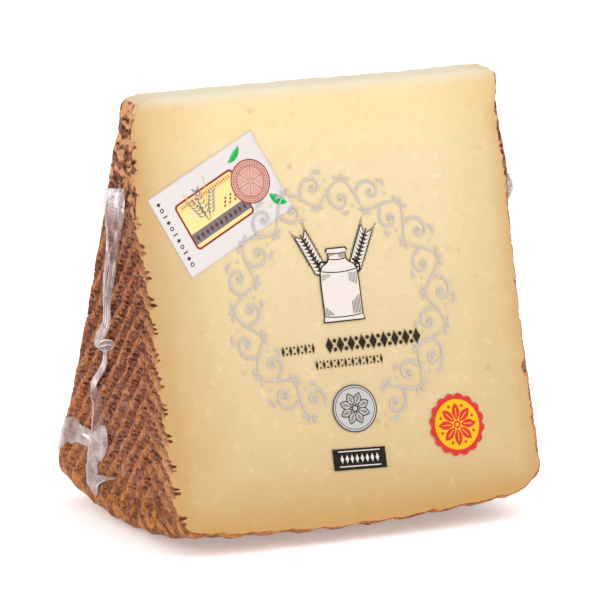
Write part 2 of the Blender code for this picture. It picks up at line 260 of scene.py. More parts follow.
# Rows of lozenges: start, end, height, and a lozenge's width to its height
ORNAMENT_ROWS = (
    ((29.2, 58.2), (38.6, 58.1), 2.6, 0.30),
    ((40.4, 57.9), (65.2, 57.8), 3.7, 0.52),
    ((37.2, 61.9), (55.2, 61.9), 2.4, 0.30),
)

# The medallion and the round seal, as a centre and a radius
MEDALLION = ((46.1, 72.1), 5.55)
ROUND_SEAL = ((71.2, 78.1), 6.95)

# The plate: its corners, the two lines on it, and its lozenges' start, step and size
PLATE = (((39.2, 80.5), (52.4, 81.0)), ((39.2, 85.2), (52.4, 85.6)))
PLATE_LINES = (((40.6, 81.15), (51.0, 81.5)), ((40.6, 84.45), (51.0, 84.8)))
PLATE_LOZENGES = 8
PLATE_LOZENGE_START = (41.4, 82.85)
PLATE_LOZENGE_STEP = (1.26, 0.04)
PLATE_LOZENGE_SIZE = (0.9, 2.0)

# Rows of points: even ones from flat to flat and cut to cut, extra ones near the edges, and from tip to wall
CHEESE_ROWS = (46, 108, 238)
CHEESE_FLAT_EXTRA = (0.15, 0.35, 0.6, 0.9, 1.3)
CHEESE_CUT_EXTRA = (0.006, 0.016, 0.03, 0.05, 0.075)
CHEESE_TIP_EXTRA = (0.0, 0.002, 0.005, 0.009, 0.014)
FILM_ROWS = (84, 50, 120)
FILM_FLAT_EXTRA = (0.3, 0.8)
FILM_CUT_EXTRA = (0.02, 0.06)
LABEL_ROWS = (40, 28)
FIN_ROWS = (23, 420)
FLOOR_ROWS = 9

# Points across a folded seam, and along it for each row of its route
SEAM_COLUMNS = 43
SEAM_STEPS = 12

# Seeds of the folded film's noise
LEFT_SEED = 21
RIGHT_SEED = 31
TUFT_SEED = 35
FIN_SEED = 41
FOLD_SEED = 51
FOLD_SEED_STEP = 9

# How a mesh keeps a field of one, three or four numbers per point
FIELD_KINDS = {1: ("FLOAT", "value"), 3: ("FLOAT_VECTOR", "vector"), 4: ("FLOAT_COLOR", "color")}

# Lights, in metres: their side, the height of the point that they face, and where they stand
LIGHT_SIDE = 0.5
LIGHT_AIM = 0.04
KEY_PLACE = (0.12, -0.42, 0.62)
FILL_PLACE = (-0.75, -0.2, 0.35)

# The camera, in degrees and metres, and its lens in millimetres
CAMERA_AZIMUTH = math.radians(-30.25)
CAMERA_HEIGHT = math.radians(13.43)
CAMERA_ROLL = math.radians(1.645)
CAMERA_TARGET = (-0.00156, 0.0, 0.04746)
CAMERA_DISTANCE = 1.9754
CAMERA_LENS = 540.0
CAMERA_SENSOR = 36.0


def linear(red, green, blue):
    """A colour of eight-bit values on a screen, as amounts of light."""
    return tuple(((c / 255 + 0.055) / 1.055) ** 2.4 if c > 10 else c / 3295 for c in (red, green, blue))


def size_value(name, description, millimetres, low=0.0, high=100.0):
    """A size on the panel, kept in metres."""
    return FloatProperty(name=name, description=description, default=millimetres * MM, min=low * MM,
                         max=high * MM, unit="LENGTH", precision=5)


def share_value(name, description, default):
    """An amount from 0 to 1 on the panel."""
    return FloatProperty(name=name, description=description, default=default, min=0.0, max=1.0,
                         subtype="FACTOR")


def power_value(name, description, default):
    """The power of a light on the panel."""
    return FloatProperty(name=name, description=description, default=default, min=0.0, unit="POWER")


def colour_value(name, description, red, green, blue):
    """A colour on the panel, from eight-bit values."""
    return FloatVectorProperty(name=name, description=description, default=linear(red, green, blue),
                               min=0.0, max=1.0, size=3, subtype="COLOR")


class RindSettings(bpy.types.PropertyGroup):
    groove: size_value("Groove", "Depth of the woven print's grooves", 0.9)
    tooth: size_value("Tooth", "Depth of a groove where it runs out over the front edge", 1.0)
    rung: size_value("Rung", "Distance between the level rungs that cross the bands", 1.25, 0.3)
    ridge: colour_value("Ridge", "Tan of the raised strands", 184, 113, 62)
    shade: colour_value("Shade", "Brown between the strands", 132, 72, 42)
    rust: colour_value("Rust", "Redder patches of the ridges", 128, 56, 28)
    # Edge: a light tan that is the rind's own colour beside the cut, and also the colour of the painted
    # highlight flecks on the ridges
    edge: colour_value("Edge", "Light tan beside the cut", 216, 160, 108)
    # Hollow and pit: the bands and pits lie in the grooves, and their darker browns are partly the rind's own
    # colour and partly painted shade in the recesses
    hollow: colour_value("Hollow", "Purple brown of the bands between ridges", 100, 48, 34)
    pit: colour_value("Pit", "Dark brown of the rungs and pits", 48, 18, 10)
    tip: colour_value("Tooth tip", "Brown of the grooves that run out over the edge", 96, 44, 26)
    # Film sheen: the pinkish grey of a painted reflection of the film, laid as glints over the pits and as a
    # faint wash low on the flats
    film_sheen: colour_value("Bloom", "Pinkish grey where the film spans a pit", 168, 140, 138)
    low_ridge: colour_value("Low ridge", "Lighter tan of the ridges near the foot", 190, 120, 70)
    russet: colour_value("Russet", "Warm brown between the darker bands", 124, 56, 24)
    foot_dark: colour_value("Foot smears", "Brown smears at the foot", 112, 50, 8)
    foot_light: colour_value("Foot", "Orange tan of the foot", 202, 122, 36)
    back_edge: colour_value("Back edge", "Light orange low on the back edge", 226, 142, 84)


class PasteSettings(bpy.types.PropertyGroup):
    heart: colour_value("Heart", "Pale yellow in the middle of the wheel", 222, 201, 160)
    # Outer: deeper cream towards the bottom, partly the paste's own colour near the rind and partly painted
    # shade as the light falls from above
    outer: colour_value("Outer", "Deeper cream towards the rind", 200, 175, 133)
    under_rind: colour_value("Under the rind", "Amber of the paste just under the rind", 178, 132, 62)
    skin: colour_value("Skin", "Greyish cream of the dried tip", 215, 206, 184)
    drift: colour_value("Drift", "Broad darker drifts", 190, 160, 112)
    cloud: colour_value("Cloud", "Grey green clouds", 176, 160, 120)
    fleck: colour_value("Fleck", "Pale flecks", 255, 244, 214)
    # Hole shade: painted shade in the small holes of the paste
    eye: colour_value("Eye", "Small holes", 176, 138, 80)
    # Skin: the greyish cream of the tip, partly a drier skin and partly a painted whitish reflection of the
    # film where the tip faces up
    shoulder: colour_value("Shoulder", "Yellow glow below the tip", 232, 200, 132)
    # Side shade: painted shade, a greyer band at mid height beside the left rind
    side_shade: colour_value("Waist", "Greyer cream at mid height beside the rind", 188, 158, 120)
    blush: colour_value("Blush", "Pinkish line where the paste meets the rind", 206, 146, 96)


class FilmSettings(bpy.types.PropertyGroup):
    gap: size_value("Gap", "Distance of the clear film from the cheese", 0.2)
    bridging: share_value("Bridging", "Share of each groove that the film spans", 0.7)
    gloss: share_value("Gloss", "Strength of the film's reflections", 0.2)
    haze: colour_value("Haze", "Milky grey of the folded seams", 214, 194, 189)
    thin: colour_value("Thin", "Purple grey of the thin folded film", 176, 150, 152)
    # Crease: the white of the creases, partly more opaque folded film and partly painted highlights, with the
    # painted glints of the back seam
    crease: colour_value("Crease", "White of the creases", 248, 244, 246)


class LabelSettings(bpy.types.PropertyGroup):
    across: size_value("Across", "Middle of the label from the left flat", 19.4)
    down: size_value("Down", "Middle of the label down from the tip", 24.8)
    width: size_value("Width", "Long side of the label", 30.2)
    height: size_value("Height", "Short side of the label", 19.7)
    thick: size_value("Thickness", "Thickness of the paper", 0.18)
    turn: FloatProperty(name="Turn", description="Turn of the label, right end up",
                        default=math.radians(25.8), unit="ROTATION")
    paper: colour_value("Paper", "White of the paper", 212, 204, 202)
    fibre: colour_value("Fibre", "Lighter fibres of the paper", 214, 206, 202)
    brown: colour_value("Brown", "Frame, rosette lines and seeds", 140, 44, 26)
    grey: colour_value("Grey", "Lower band of the panel", 122, 110, 112)
    yellow: colour_value("Yellow", "Field of the panel", 240, 214, 148)
    orange: colour_value("Orange", "Upper band of the panel", 248, 200, 138)
    bead: colour_value("Bead", "Lozenges on the grey band", 92, 58, 58)
    rose: colour_value("Rose", "Round rosette", 206, 156, 144)
    petal: colour_value("Petal", "Petals of the rosette", 222, 180, 168)
    green: colour_value("Green", "Leaves", 20, 168, 76)
    vein: colour_value("Vein", "Veins of the leaves", 120, 206, 150)
    straw: colour_value("Straw", "Two straws", 224, 186, 90)
    sprig: colour_value("Sprig", "Grey sprigs", 146, 142, 144)
    mark: colour_value("Mark", "Small marks beside the short side", 62, 56, 64)


class PrintSettings(bpy.types.PropertyGroup):
    silver: colour_value("Silver", "Grey of the scroll ring", 192, 186, 184)
    black: colour_value("Black", "Ink of the emblem and the rows", 32, 24, 14)
    red: colour_value("Red", "Red of the round seal", 206, 48, 46)
    yellow: colour_value("Yellow", "Yellow of the round seal", 240, 178, 16)
    white: colour_value("White", "Body of the churn and the grains", 222, 211, 205)
    grey: colour_value("Grey", "Medallion", 186, 184, 182)
    dark: colour_value("Dark", "Lines of the medallion", 66, 62, 60)
    plate: colour_value("Plate", "Black plate below the medallion", 26, 20, 18)
    pale: colour_value("Pale", "Ornament on the plate", 214, 208, 200)
    worn: colour_value("Worn", "Tone that shows where the ink is thin", 250, 235, 205)


class StageSettings(bpy.types.PropertyGroup):
    floor: FloatProperty(name="Floor", description="Side of the floor", default=6.0, unit="LENGTH")
    floor_colour: colour_value("Floor colour", "Plain pale floor", 252, 252, 252)
    cloud: colour_value("Floor clouds", "Very faint unevenness of the floor", 240, 240, 240)
    glow: share_value("Floor glow", "Light that the floor itself gives off, as a light table", 0.3)
    key: power_value("Key light", "Power of the large soft light", 1.36)
    fill: power_value("Fill light", "Power of the soft light on the left", 1.2)
    sky: share_value("Surroundings", "Strength of the even light all round", 0.95)


class ManchegoSettings(bpy.types.PropertyGroup):
    rind: PointerProperty(type=RindSettings)
    paste: PointerProperty(type=PasteSettings)
    film: PointerProperty(type=FilmSettings)
    label: PointerProperty(type=LabelSettings)
    print: PointerProperty(type=PrintSettings)
    stage: PointerProperty(type=StageSettings)


def settings():
    """All values on the panel."""
    return bpy.context.scene.manchego


def size(group, name):
    """One of the panel's lengths, in millimetres."""
    return getattr(getattr(settings(), group), name) / MM


def smooth_step(low, high, value):
    """Eased step: 0 below low, 1 above high."""
    share = np.clip((value - low) / (high - low), 0.0, 1.0)
    return share * share * (3 - 2 * share)


def bell(value, centre, width, height):
    """Bell of this height and width round its centre."""
    return height * np.exp(-((value - centre) / width) ** 2)


def lattice_noise(points, seed):
    """Smooth noise in -1..1: hashed values on a cubic lattice, eased between each cell's eight corners."""
    cell = np.floor(points).astype(np.int64)
    part = points - cell
    part = part * part * (3 - 2 * part)
    total = 0.0
    for corner in product((0, 1), repeat=3):
        at = cell + np.array(corner)
        mixed = at[..., 0] * 73856093 ^ at[..., 1] * 19349663 ^ at[..., 2] * 83492791 ^ (seed + 1) * 40503
        mixed = (mixed ^ (mixed >> 13)) * 1274126177 & 0xFFFFFFFF
        value = ((mixed ^ (mixed >> 16)) & 0xFFFF) / 32767.5 - 1
        total = total + value * np.prod(np.where(np.array(corner) == 1, part, 1 - part), axis=-1)
    return total


def noise_at(x, y, z, across, seed):
    """Lattice noise whose lumps are about this many millimetres across."""
    return lattice_noise(np.stack(np.broadcast_arrays(x, y, z), -1) / across + 100.0, seed)


# Shapes of the wedge


def half_width(depth):
    """Half the wedge's thickness: the straight cut, blended into the blunt tip by a fifth-power sum."""
    cut = np.maximum(depth + TIP_FROM_AXIS, 0.0) * HALF_TAN
    return (cut ** TIP_BLEND + TIP_HALF_WIDTH ** TIP_BLEND) ** (1 / TIP_BLEND)


def flat_swell(side, y, depth):
    """How far a flat stands out: a front plateau and lips, mixed with the hollow of the back half."""
    span = depth / SLOPE_LENGTH
    plateau = smooth_step(0.0, 0.3, span) * (1 - smooth_step(0.85, 1.0, span))
    forward = smooth_step(-1.0, 1.0, -y / half_width(depth))
    front = LEFT_FRONT_SWELL * plateau + bell(depth, *LEFT_LIP)
    back = bell(depth, *LEFT_BACK_LIP) + bell(depth, *LEFT_BACK_HOLLOW)
    left = front * forward + back * (1 - forward)
    right = (bell(depth, *RIGHT_LIP) + bell(depth, *RIGHT_HOLLOW)) * forward
    return np.where(side < 0, left, right)


def herringbone(y, depth):
    """Place in the print: row number with its fraction, and distance from the spine along the ridge.

    The distance is below zero in front of the spine.
    """
    dy, dz = y - SPINE_Y, -depth
    behind = dy * math.cos(SPINE_TILT) - dz * math.sin(SPINE_TILT)
    down = -dy * math.sin(SPINE_TILT) - dz * math.cos(SPINE_TILT)
    row = (down - RIDGE_SLOPE * np.abs(behind) - RIDGE_START) / RIDGE_PITCH
    return row, behind * math.hypot(1.0, RIDGE_SLOPE)


def rind_relief(side, y, depth):
    """Depth of the woven print, and the fields that its finish follows.

    Each row has a ridge and a band. Level rungs cross the band: a cosine of the depth, strong and weak in
    patches. Towards the tip the print gives way to uneven lumps. A tooth is a rung that meets the front
    edge of the left flat, and it runs on over that edge.
    """
    sheet = side * 9.0

    def grain(across, seed):
        return noise_at(sheet, y, depth, across, seed)

    edge = half_width(depth)
    front, behind = y + edge, edge - y
    row, along = herringbone(y, depth)
    row = row + sum(amount * grain(across, seed) for amount, across, seed in ROW_WAVER)
    rung = depth + sum(amount * grain(across, seed) for amount, across, seed in RUNG_WAVER)
    rung = rung / size("rind", "rung")
    phase = row - np.floor(row)
    level = 0.5 + 0.5 * np.cos(2 * math.pi * rung)
    ahead = 0.06 * (1 - smooth_step(-2.0, 2.0, along)) + 0.14 * level + 0.10 * grain(1.6, 23)
    band = smooth_step(*BAND_START, phase + ahead) * (1 - smooth_step(*BAND_END, phase - 0.4 * ahead))
    strong = 0.2 + 0.8 * smooth_step(-0.35, 0.35, grain(2.0, 21))
    rungs = 0.45 + 0.55 * smooth_step(0.25, 0.85, level) * strong
    lumps = smooth_step(0.20, 0.6, noise_at(sheet, y * 0.6, depth, 1.7, 17))
    top = 1 - smooth_step(*LUMPS_END, depth)
    woven = band * rungs * (1 - 0.7 * top) + 0.6 * lumps * top

    edge_row = herringbone(-edge, depth)[0] + 0.10 * noise_at(sheet, 0.0, depth, 2.6, 7)
    edge_phase = edge_row - np.floor(edge_row)
    reach = (0.75 + 0.6 * noise_at(sheet, 0.0, depth, 3.0, 8)) * (side < 0)
    reach = np.clip(reach * (1 - smooth_step(0.5, 2.6, front)), 0.0, 1.5)
    reach = reach * (0.3 + 0.7 * smooth_step(*TEETH_GROW, depth))
    tooth = smooth_step(*TOOTH_START, edge_phase) * (1 - smooth_step(*TOOTH_END, edge_phase)) * reach
    calm = (0.35 + 0.65 * smooth_step(0.3, 3.0, front)) * (0.4 + 0.6 * smooth_step(0.5, 5.0, behind))
    deep = size("rind", "groove") * woven * calm
    deep = deep + size("rind", "tooth") * np.clip(tooth * smooth_step(0.2, 0.7, level), 0.0, 1.0)
    deep = deep + (0.10 * grain(0.9, 4) + 0.14 * grain(1.7, 6)) * calm
    return deep, {"weave": np.stack([row, along, rung], -1), "edge_row": edge_row, "reach": reach}


def braid_rise(x, along):
    """Relief of the belt's print: round braids side by side, each with slanted strands."""
    braid = (x - BRAID_OFFSET) / BRAID_PITCH
    across = braid - np.round(braid)
    strand = np.cos(2 * math.pi * (along / STRAND_PITCH + RIDGE_SLOPE * np.abs(across)))
    return BRAID_RISE * (1 - 8 * across ** 2) + STRAND_RISE * strand * (1 - 4 * across ** 2)


def squeeze_corner(x, q, corner_x, corner_q, radius_x, radius_q, side_x, side_q):
    """Bends the square corner beyond a centre to a quarter ellipse, keeping each point's square ring."""
    u = (x - corner_x) * side_x / radius_x
    v = (q - corner_q) * side_q / radius_q
    beyond = (u > 0) & (v > 0)
    ring = np.where(beyond, np.maximum(u, v) / np.maximum(np.hypot(u, v), 1e-9), 1.0)
    return (np.where(beyond, corner_x + side_x * radius_x * u * ring, x),
            np.where(beyond, corner_q + side_q * radius_q * v * ring, q))


def round_edge(first, second, radius):
    """Extra insets that turn the edge between two faces round, from the distances to both."""
    u, v = np.maximum(radius - first, 0.0), np.maximum(radius - second, 0.0)
    both = (u > 0) & (v > 0)
    ring = np.where(both, np.maximum(u, v) / np.maximum(np.hypot(u, v), 1e-9), 1.0)
    return u * (1 - ring), v * (1 - ring)


def wedge_surface(a, t, d, lift, bridging):
    """Points of the wedge's skin, and the fields that its colours follow.

    A box of numbers becomes the wedge: a runs from flat to flat, t from the front cut to the back cut
    as an angle about the wheel's axis, d from the tip to the wall. lift is the skin's distance from
    the cheese. bridging is the share of every groove that the skin spans.
    """
    half_x = HALF_HEIGHT + lift
    side = np.where(a < 0, -1.0, 1.0)
    x = a * half_x
    share = (x + HALF_HEIGHT - LEFT_EDGE[0]) / (2 * HALF_HEIGHT - LEFT_EDGE[0] - RIGHT_EDGE[0])
    share = np.clip(share, 0.0, 1.0)
    full = WHEEL_RADIUS + WALL_BARREL * 4 * share * (1 - share) + lift
    q = -lift + d * (full - TIP_FROM_AXIS + lift)
    end = full - TIP_FROM_AXIS
    under_flat, under_wall = half_x - np.abs(x), end - q
    for way, edge, corner in ((-1, LEFT_EDGE, TIP_CORNERS[0]), (1, RIGHT_EDGE, TIP_CORNERS[1])):
        along, radial = edge[0] + lift, edge[1] + lift
        x, q = squeeze_corner(x, q, way * (half_x - along), end - radial, along, radial, way, 1)
        x, q = squeeze_corner(x, q, way * (half_x - corner), corner - lift, corner, corner, way, -1)
    inset = half_x - np.abs(x)
    angle = t * HALF_ANGLE
    z = -TIP_FROM_AXIS - q * (full * np.cos(angle) - TIP_FROM_AXIS) / end
    depth = -z - TIP_FROM_AXIS
    reach = half_width(depth) + lift / math.cos(HALF_ANGLE)
    y = np.tan(angle) / HALF_TAN * reach
    from_cut = (reach - np.abs(y)) * math.cos(HALF_ANGLE)
    from_tip = depth + lift

    # The rind's relief and swell on the flats, fading into the cheese
    radius = np.hypot(y, z)
    radial = np.where(side < 0, LEFT_EDGE[1], RIGHT_EDGE[1])
    edge_along = np.where(side < 0, LEFT_EDGE[0], RIGHT_EDGE[0])
    flat_end = WHEEL_RADIUS - radial
    deep, fields = rind_relief(side, y, depth)
    fade = (1 - smooth_step(flat_end + 2.5, flat_end + 8.5, radius)) * smooth_step(-1.0, 2.0, depth)
    into = np.clip(1 - inset / 4.0, 0.0, 1.0)
    wall_share = smooth_step(flat_end + 1.0, WHEEL_RADIUS - 0.1 * radial, radius)
    swell = flat_swell(side, y, depth) * (1 - smooth_step(0.0, edge_along, inset))
    shift = swell - deep * (1 - bridging) * fade * into

    # The belt's relief on the wall, and the spot that the wedge rests on
    around = np.arctan2(y, -z) * WHEEL_RADIUS
    long_side = math.sqrt(FOOT_DEPTH / WALL_BARREL) * HALF_HEIGHT
    short_side = math.sqrt(2 * WHEEL_RADIUS * FOOT_DEPTH)
    off_foot = smooth_step(0.0, 6.0, np.maximum(np.abs(x) - long_side, np.abs(around) - short_side))
    uneven = 0.18 * noise_at(x * 0.5, around, 3.0, 2.0, 8) + 0.10 * noise_at(x, around, 7.0, 1.0, 9)
    rise = (braid_rise(x, around) + uneven * (1 - bridging)) * wall_share * off_foot

    # Rounded edges, then everything is put together
    extra_cut, extra_flat = round_edge(from_cut, inset, CUT_EDGE)
    extra_side, extra_top = round_edge(from_cut, from_tip, TIP_LONG_EDGE)
    x = x + side * (shift - extra_flat)
    y = y - np.sign(y) * (extra_cut + extra_side)
    y = y * (1 + rise / radius)
    z = z * (1 + rise / radius) - extra_top
    z = z - bell(x, *TIP_SAG) * (1 - smooth_step(0.0, 20.0, depth))
    ragged = 0.22 * noise_at(x, y * 2, 1.0, 3.0, 11) + 0.10 * noise_at(x, y * 2, 1.0, 1.1, 12)
    z = z + ragged * (1 - bridging) * (1 - smooth_step(0.0, 1.2, from_tip))
    waved = 0.07 * noise_at(x, 1.0, z, 9.0, 13) * smooth_step(0.4, 4.0, from_tip)
    y = y + np.sign(t) * waved * (1 - bridging) * (np.abs(t) > 0.999)
    height = np.maximum(z + AXIS_ABOVE_FLOOR, 0.25 - lift)
    points = np.stack([x + WHEEL_MIDDLE_X, y, height], -1)

    between_braids = 1 - smooth_step(-0.6, 0.1, braid_rise(x, around))
    fields["woven"] = fade
    fields["braid"] = wall_share * smooth_step(0.5, 4.0, inset) * between_braids
    fields["rind"] = rind_field(side, x, y, depth, under_flat, under_wall, from_cut, from_tip)
    fields["inside"] = np.minimum(under_flat, under_wall)
    fields["cut"] = np.minimum(from_cut, from_tip)
    return points, fields


def rind_field(side, x, y, depth, under_flat, under_wall, from_cut, from_tip):
    """Millimetres inside the rind, and below zero in the paste.

    The rind is a layer of uneven thickness under the flats and the wall. Near a cut the paste curls
    over the edge, most at the front of the left flat and at the tip.
    """
    lumps = noise_at(x, y, depth, 2.2, 15)
    small = noise_at(x, y, depth, 0.8, 16)
    thick = np.where(under_wall < under_flat, 0.48, np.where(side < 0, 0.35, 0.60)) + 0.06 * small
    thick = thick + lumps * np.where(side < 0, 0.10, 0.35)
    patches = bell(depth, 19.0, 8.0, 0.8) + bell(depth, 64.5, 2.6, 0.9) + bell(depth, 76.0, 7.0, 0.4)
    thick = thick + np.where((side > 0) & (under_flat < under_wall), patches * (1 + 0.6 * small), 0.0)
    high = 1 - smooth_step(6.0, 30.0, depth)
    over_edge = np.where((side < 0) & (y < 0), 0.70, 0.15) * np.clip(1 - from_cut / (1.3 + high), 0.0, 1.0)
    over_tip = 0.6 * np.clip(1 - from_tip / 3.2, 0.0, 1.0)
    return thick - np.minimum(under_flat, under_wall) - np.maximum(over_edge, over_tip)


def face_point(across, down, lift):
    """Point on the front cut face: the tilted plane of the cut, bent to the blunt tip, raised by lift."""
    depth = down * math.cos(HALF_ANGLE)
    x = across - HALF_HEIGHT + WHEEL_MIDDLE_X
    y = -half_width(depth) - lift * math.cos(HALF_ANGLE)
    z = TIP_ABOVE_FLOOR - depth + lift * math.sin(HALF_ANGLE)
    return np.stack(np.broadcast_arrays(x, y, z), -1)


def label_share(across, down):
    """1 over the paper label and 0 away from it, eased where the film spans its edge."""
    turn = settings().label.turn
    du, dv = across - size("label", "across"), down - size("label", "down")
    u = np.abs(du * math.cos(turn) - dv * math.sin(turn)) - size("label", "width") / 2
    v = np.abs(du * math.sin(turn) + dv * math.cos(turn)) - size("label", "height") / 2
    return 1 - smooth_step(0.0, 1.6, np.maximum(u, v))


def film_lift(across, down):
    """Height of the film over the front cut face: its own gap, and more over the label."""
    return size("film", "gap") + size("label", "thick") * 1.2 * label_share(across, down)


# Meshes


def box_faces(ids):
    """Quads of a grid of point numbers, in the order that faces along its first axis times its second."""
    return np.stack([ids[:-1, :-1], ids[1:, :-1], ids[1:, 1:], ids[:-1, 1:]], -1).reshape(-1, 4)


def closed_box(a, t, d, place):
    """Six grids over a box's faces, welded at their edges and put in space by place(a, t, d).

    The faces are turned outwards where the volume, a sum of triple products, comes out below zero.
    """
    shape = (len(a), len(t), len(d))
    i, j, k = np.indices(shape)
    skin = (i == 0) | (i == shape[0] - 1) | (j == 0) | (j == shape[1] - 1) | (k == 0) | (k == shape[2] - 1)
    ids = np.full(shape, -1)
    ids[skin] = np.arange(skin.sum())
    faces = np.concatenate([
        box_faces(ids[0]), box_faces(ids[-1])[:, ::-1],
        box_faces(ids[:, 0])[:, ::-1], box_faces(ids[:, -1]),
        box_faces(ids[:, :, 0]), box_faces(ids[:, :, -1])[:, ::-1],
    ])
    points = place(a[i[skin]], t[j[skin]], d[k[skin]])
    corners = points[faces]
    volume = (corners[:, 0] * np.cross(corners[:, 1], corners[:, 2])).sum()
    volume += (corners[:, 0] * np.cross(corners[:, 2], corners[:, 3])).sum()
    return points, faces if volume > 0 else faces[:, ::-1]


def make_piece(name, points, faces, material, fields=None):
    """A mesh object from points in millimetres and quads, with a number or colour field per point."""
    mesh = bpy.data.meshes.new(name)
    mesh.vertices.add(len(points))
    mesh.vertices.foreach_set("co", (points * MM).astype(np.float32).ravel())
    mesh.loops.add(faces.size)
    mesh.loops.foreach_set("vertex_index", faces.astype(np.int32).ravel())
    mesh.polygons.add(len(faces))
    mesh.polygons.foreach_set("loop_start", np.arange(0, faces.size, faces.shape[1], dtype=np.int32))
    mesh.polygons.foreach_set("use_smooth", np.ones(len(faces), bool))
    for field, values in (fields or {}).items():
        kind, part = FIELD_KINDS[values.size // len(values)]
        layer = mesh.attributes.new(field, kind, "POINT")
        layer.data.foreach_set(part, values.astype(np.float32).ravel())
    mesh.update(calc_edges=True)
    mesh.validate()
    mesh.materials.append(material)
    piece = bpy.data.objects.new(name, mesh)
    bpy.context.scene.collection.objects.link(piece)
    return piece


def add_to_part(piece, slot, *nodes):
    """Hangs a finished piece on what it rides on, the root body, and hides the solids that it stands for;
    slot, its finish, is not used.
    """
    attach(piece, "root")
    if nodes:
        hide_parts(*nodes)


def join_bodies(bodies):
    """Several (points, faces, fields) as one, with the point numbers of later bodies moved on."""
    points, faces, fields, start = [], [], {}, 0
    for body_points, body_faces, body_fields in bodies:
        points.append(body_points)
        faces.append(body_faces + start)
        start += len(body_points)
        for name, values in body_fields.items():
            fields.setdefault(name, []).append(values)
    return np.concatenate(points), np.concatenate(faces), {n: np.concatenate(v) for n, v in fields.items()}


def even(count):
    """Evenly spaced numbers from -1 to 1."""
    return np.linspace(-1.0, 1.0, count)


def edge_spaced(count, fine, span):
    """Even numbers from -1 to 1, with extra ones at these distances in millimetres from the ends."""
    near = np.array(fine) / span
    middle = np.linspace(-1 + near[-1] * 1.4, 1 - near[-1] * 1.4, count)
    return np.concatenate([[-1.0], -1 + near, middle, 1 - near[::-1], [1.0]])


# Print


def stroke(path, width):
    """A line of ink: the path's points moved sideways by up to half the width, which may vary."""
    step = np.gradient(path, axis=0)
    length = np.maximum(np.hypot(step[:, 0], step[:, 1]), 1e-9)
    sideways = np.stack([-step[:, 1], step[:, 0]], -1) / length[:, None]
    half = np.broadcast_to(width, len(path))[:, None, None] / 2
    return path[:, None, :] + sideways[:, None, :] * even(3)[None, :, None] * half


def straight(start, end, count):
    """Evenly spaced points from start to end."""
    share = np.linspace(0.0, 1.0, count)[:, None]
    return np.array(start) * (1 - share) + np.array(end) * share


def leaf(start, end, width, bend=0.0):
    """A pointed leaf: a bent line whose width is a half sine along it."""
    run = np.array(end) - np.array(start)
    share = np.linspace(0.0, 1.0, 14)
    bow = 4 * bend * (share * (1 - share))[:, None] * np.array([-run[1], run[0]])
    return stroke(straight(start, end, 14) + bow, width * np.sin(math.pi * np.clip(share, 0.01, 0.99)) ** 0.8)


def arc(centre, radius, start, end, count):
    """Points on a circle's arc, angles in turns."""
    turn = np.linspace(start, end, count) * 2 * math.pi
    radius = np.broadcast_to(radius, count)
    return np.stack([centre[0] + radius * np.cos(turn), centre[1] + radius * np.sin(turn)], -1)


def disc(centre, outer, inner=0.02, squash=1.0, count=96, rings=6):
    """A filled ring: a grid of angles and radii. outer may be an array that varies with the angle."""
    angle = np.linspace(0.0, 2 * math.pi, count)[:, None]
    outer = np.broadcast_to(outer, count)[:, None]
    radius = inner + (outer - inner) * np.linspace(0.0, 1.0, rings)
    return np.stack([centre[0] + radius * np.cos(angle), centre[1] + radius * np.sin(angle) * squash], -1)


def rounded_box(centre, width, height, corner):
    """A box with round corners: the outline of four joined arcs, filled by drawing it in to the centre."""
    turn = np.linspace(0.0, 2 * math.pi, 120)
    x = np.sign(np.cos(turn)) * (width / 2 - corner) + corner * np.cos(turn)
    y = np.sign(np.sin(turn)) * (height / 2 - corner) + corner * np.sin(turn)
    outline = np.stack([x, y], -1)
    outline = np.concatenate([outline, outline[:1]])
    return np.array(centre) + outline[:, None, :] * np.linspace(1.0, 0.01, 4)[None, :, None]


class Ink:
    """Collects flat shapes in colours, each a grid of places, and lays them on a surface in layers."""

    def __init__(self):
        self.bodies = []

    def add(self, shape, colour, opacity=1.0, layer=0):
        rows, columns = shape.shape[:2]
        ids = np.arange(rows * columns).reshape(rows, columns)
        places = shape.reshape(-1, 2)
        tint = np.tile([*colour, opacity], (len(places), 1))
        fields = {"ink": tint, "layer": np.full(len(places), float(layer))}
        self.bodies.append((places, box_faces(ids), fields))

    def line(self, start, end, width, colour, opacity, layer=0, count=12):
        """A straight line."""
        self.add(stroke(straight(start, end, count), width), colour, opacity, layer)

    def dot(self, centre, radius, colour, opacity, layer=0, count=20):
        """A small filled circle."""
        self.add(disc(centre, radius, count=count, rings=3), colour, opacity, layer)

    def lay(self, name, material, surface):
        """Puts the shapes on surface(across, down, layer) and turns every face outwards."""
        places, faces, fields = join_bodies(self.bodies)
        x, y = places[faces][..., 0], places[faces][..., 1]
        area = (x * (np.roll(y, -1, 1) - np.roll(y, 1, 1))).sum(1)
        faces = np.where((area > 0)[:, None], faces[:, ::-1], faces)
        layer = fields.pop("layer")
        points = surface(places[:, 0], places[:, 1], layer)
        return make_piece(name, points, faces[np.abs(area) > 1e-7], material, fields)


# The label's and the film's own designs


def face_ink(ink, name, material):
    """Lays ink on the film of the front cut face."""
    def surface(across, down, layer):
        return face_point(across, down, film_lift(across, down) + FILM_INK_LIFT + FILM_INK_LAYER * layer)

    return ink.lay(name, material, surface)


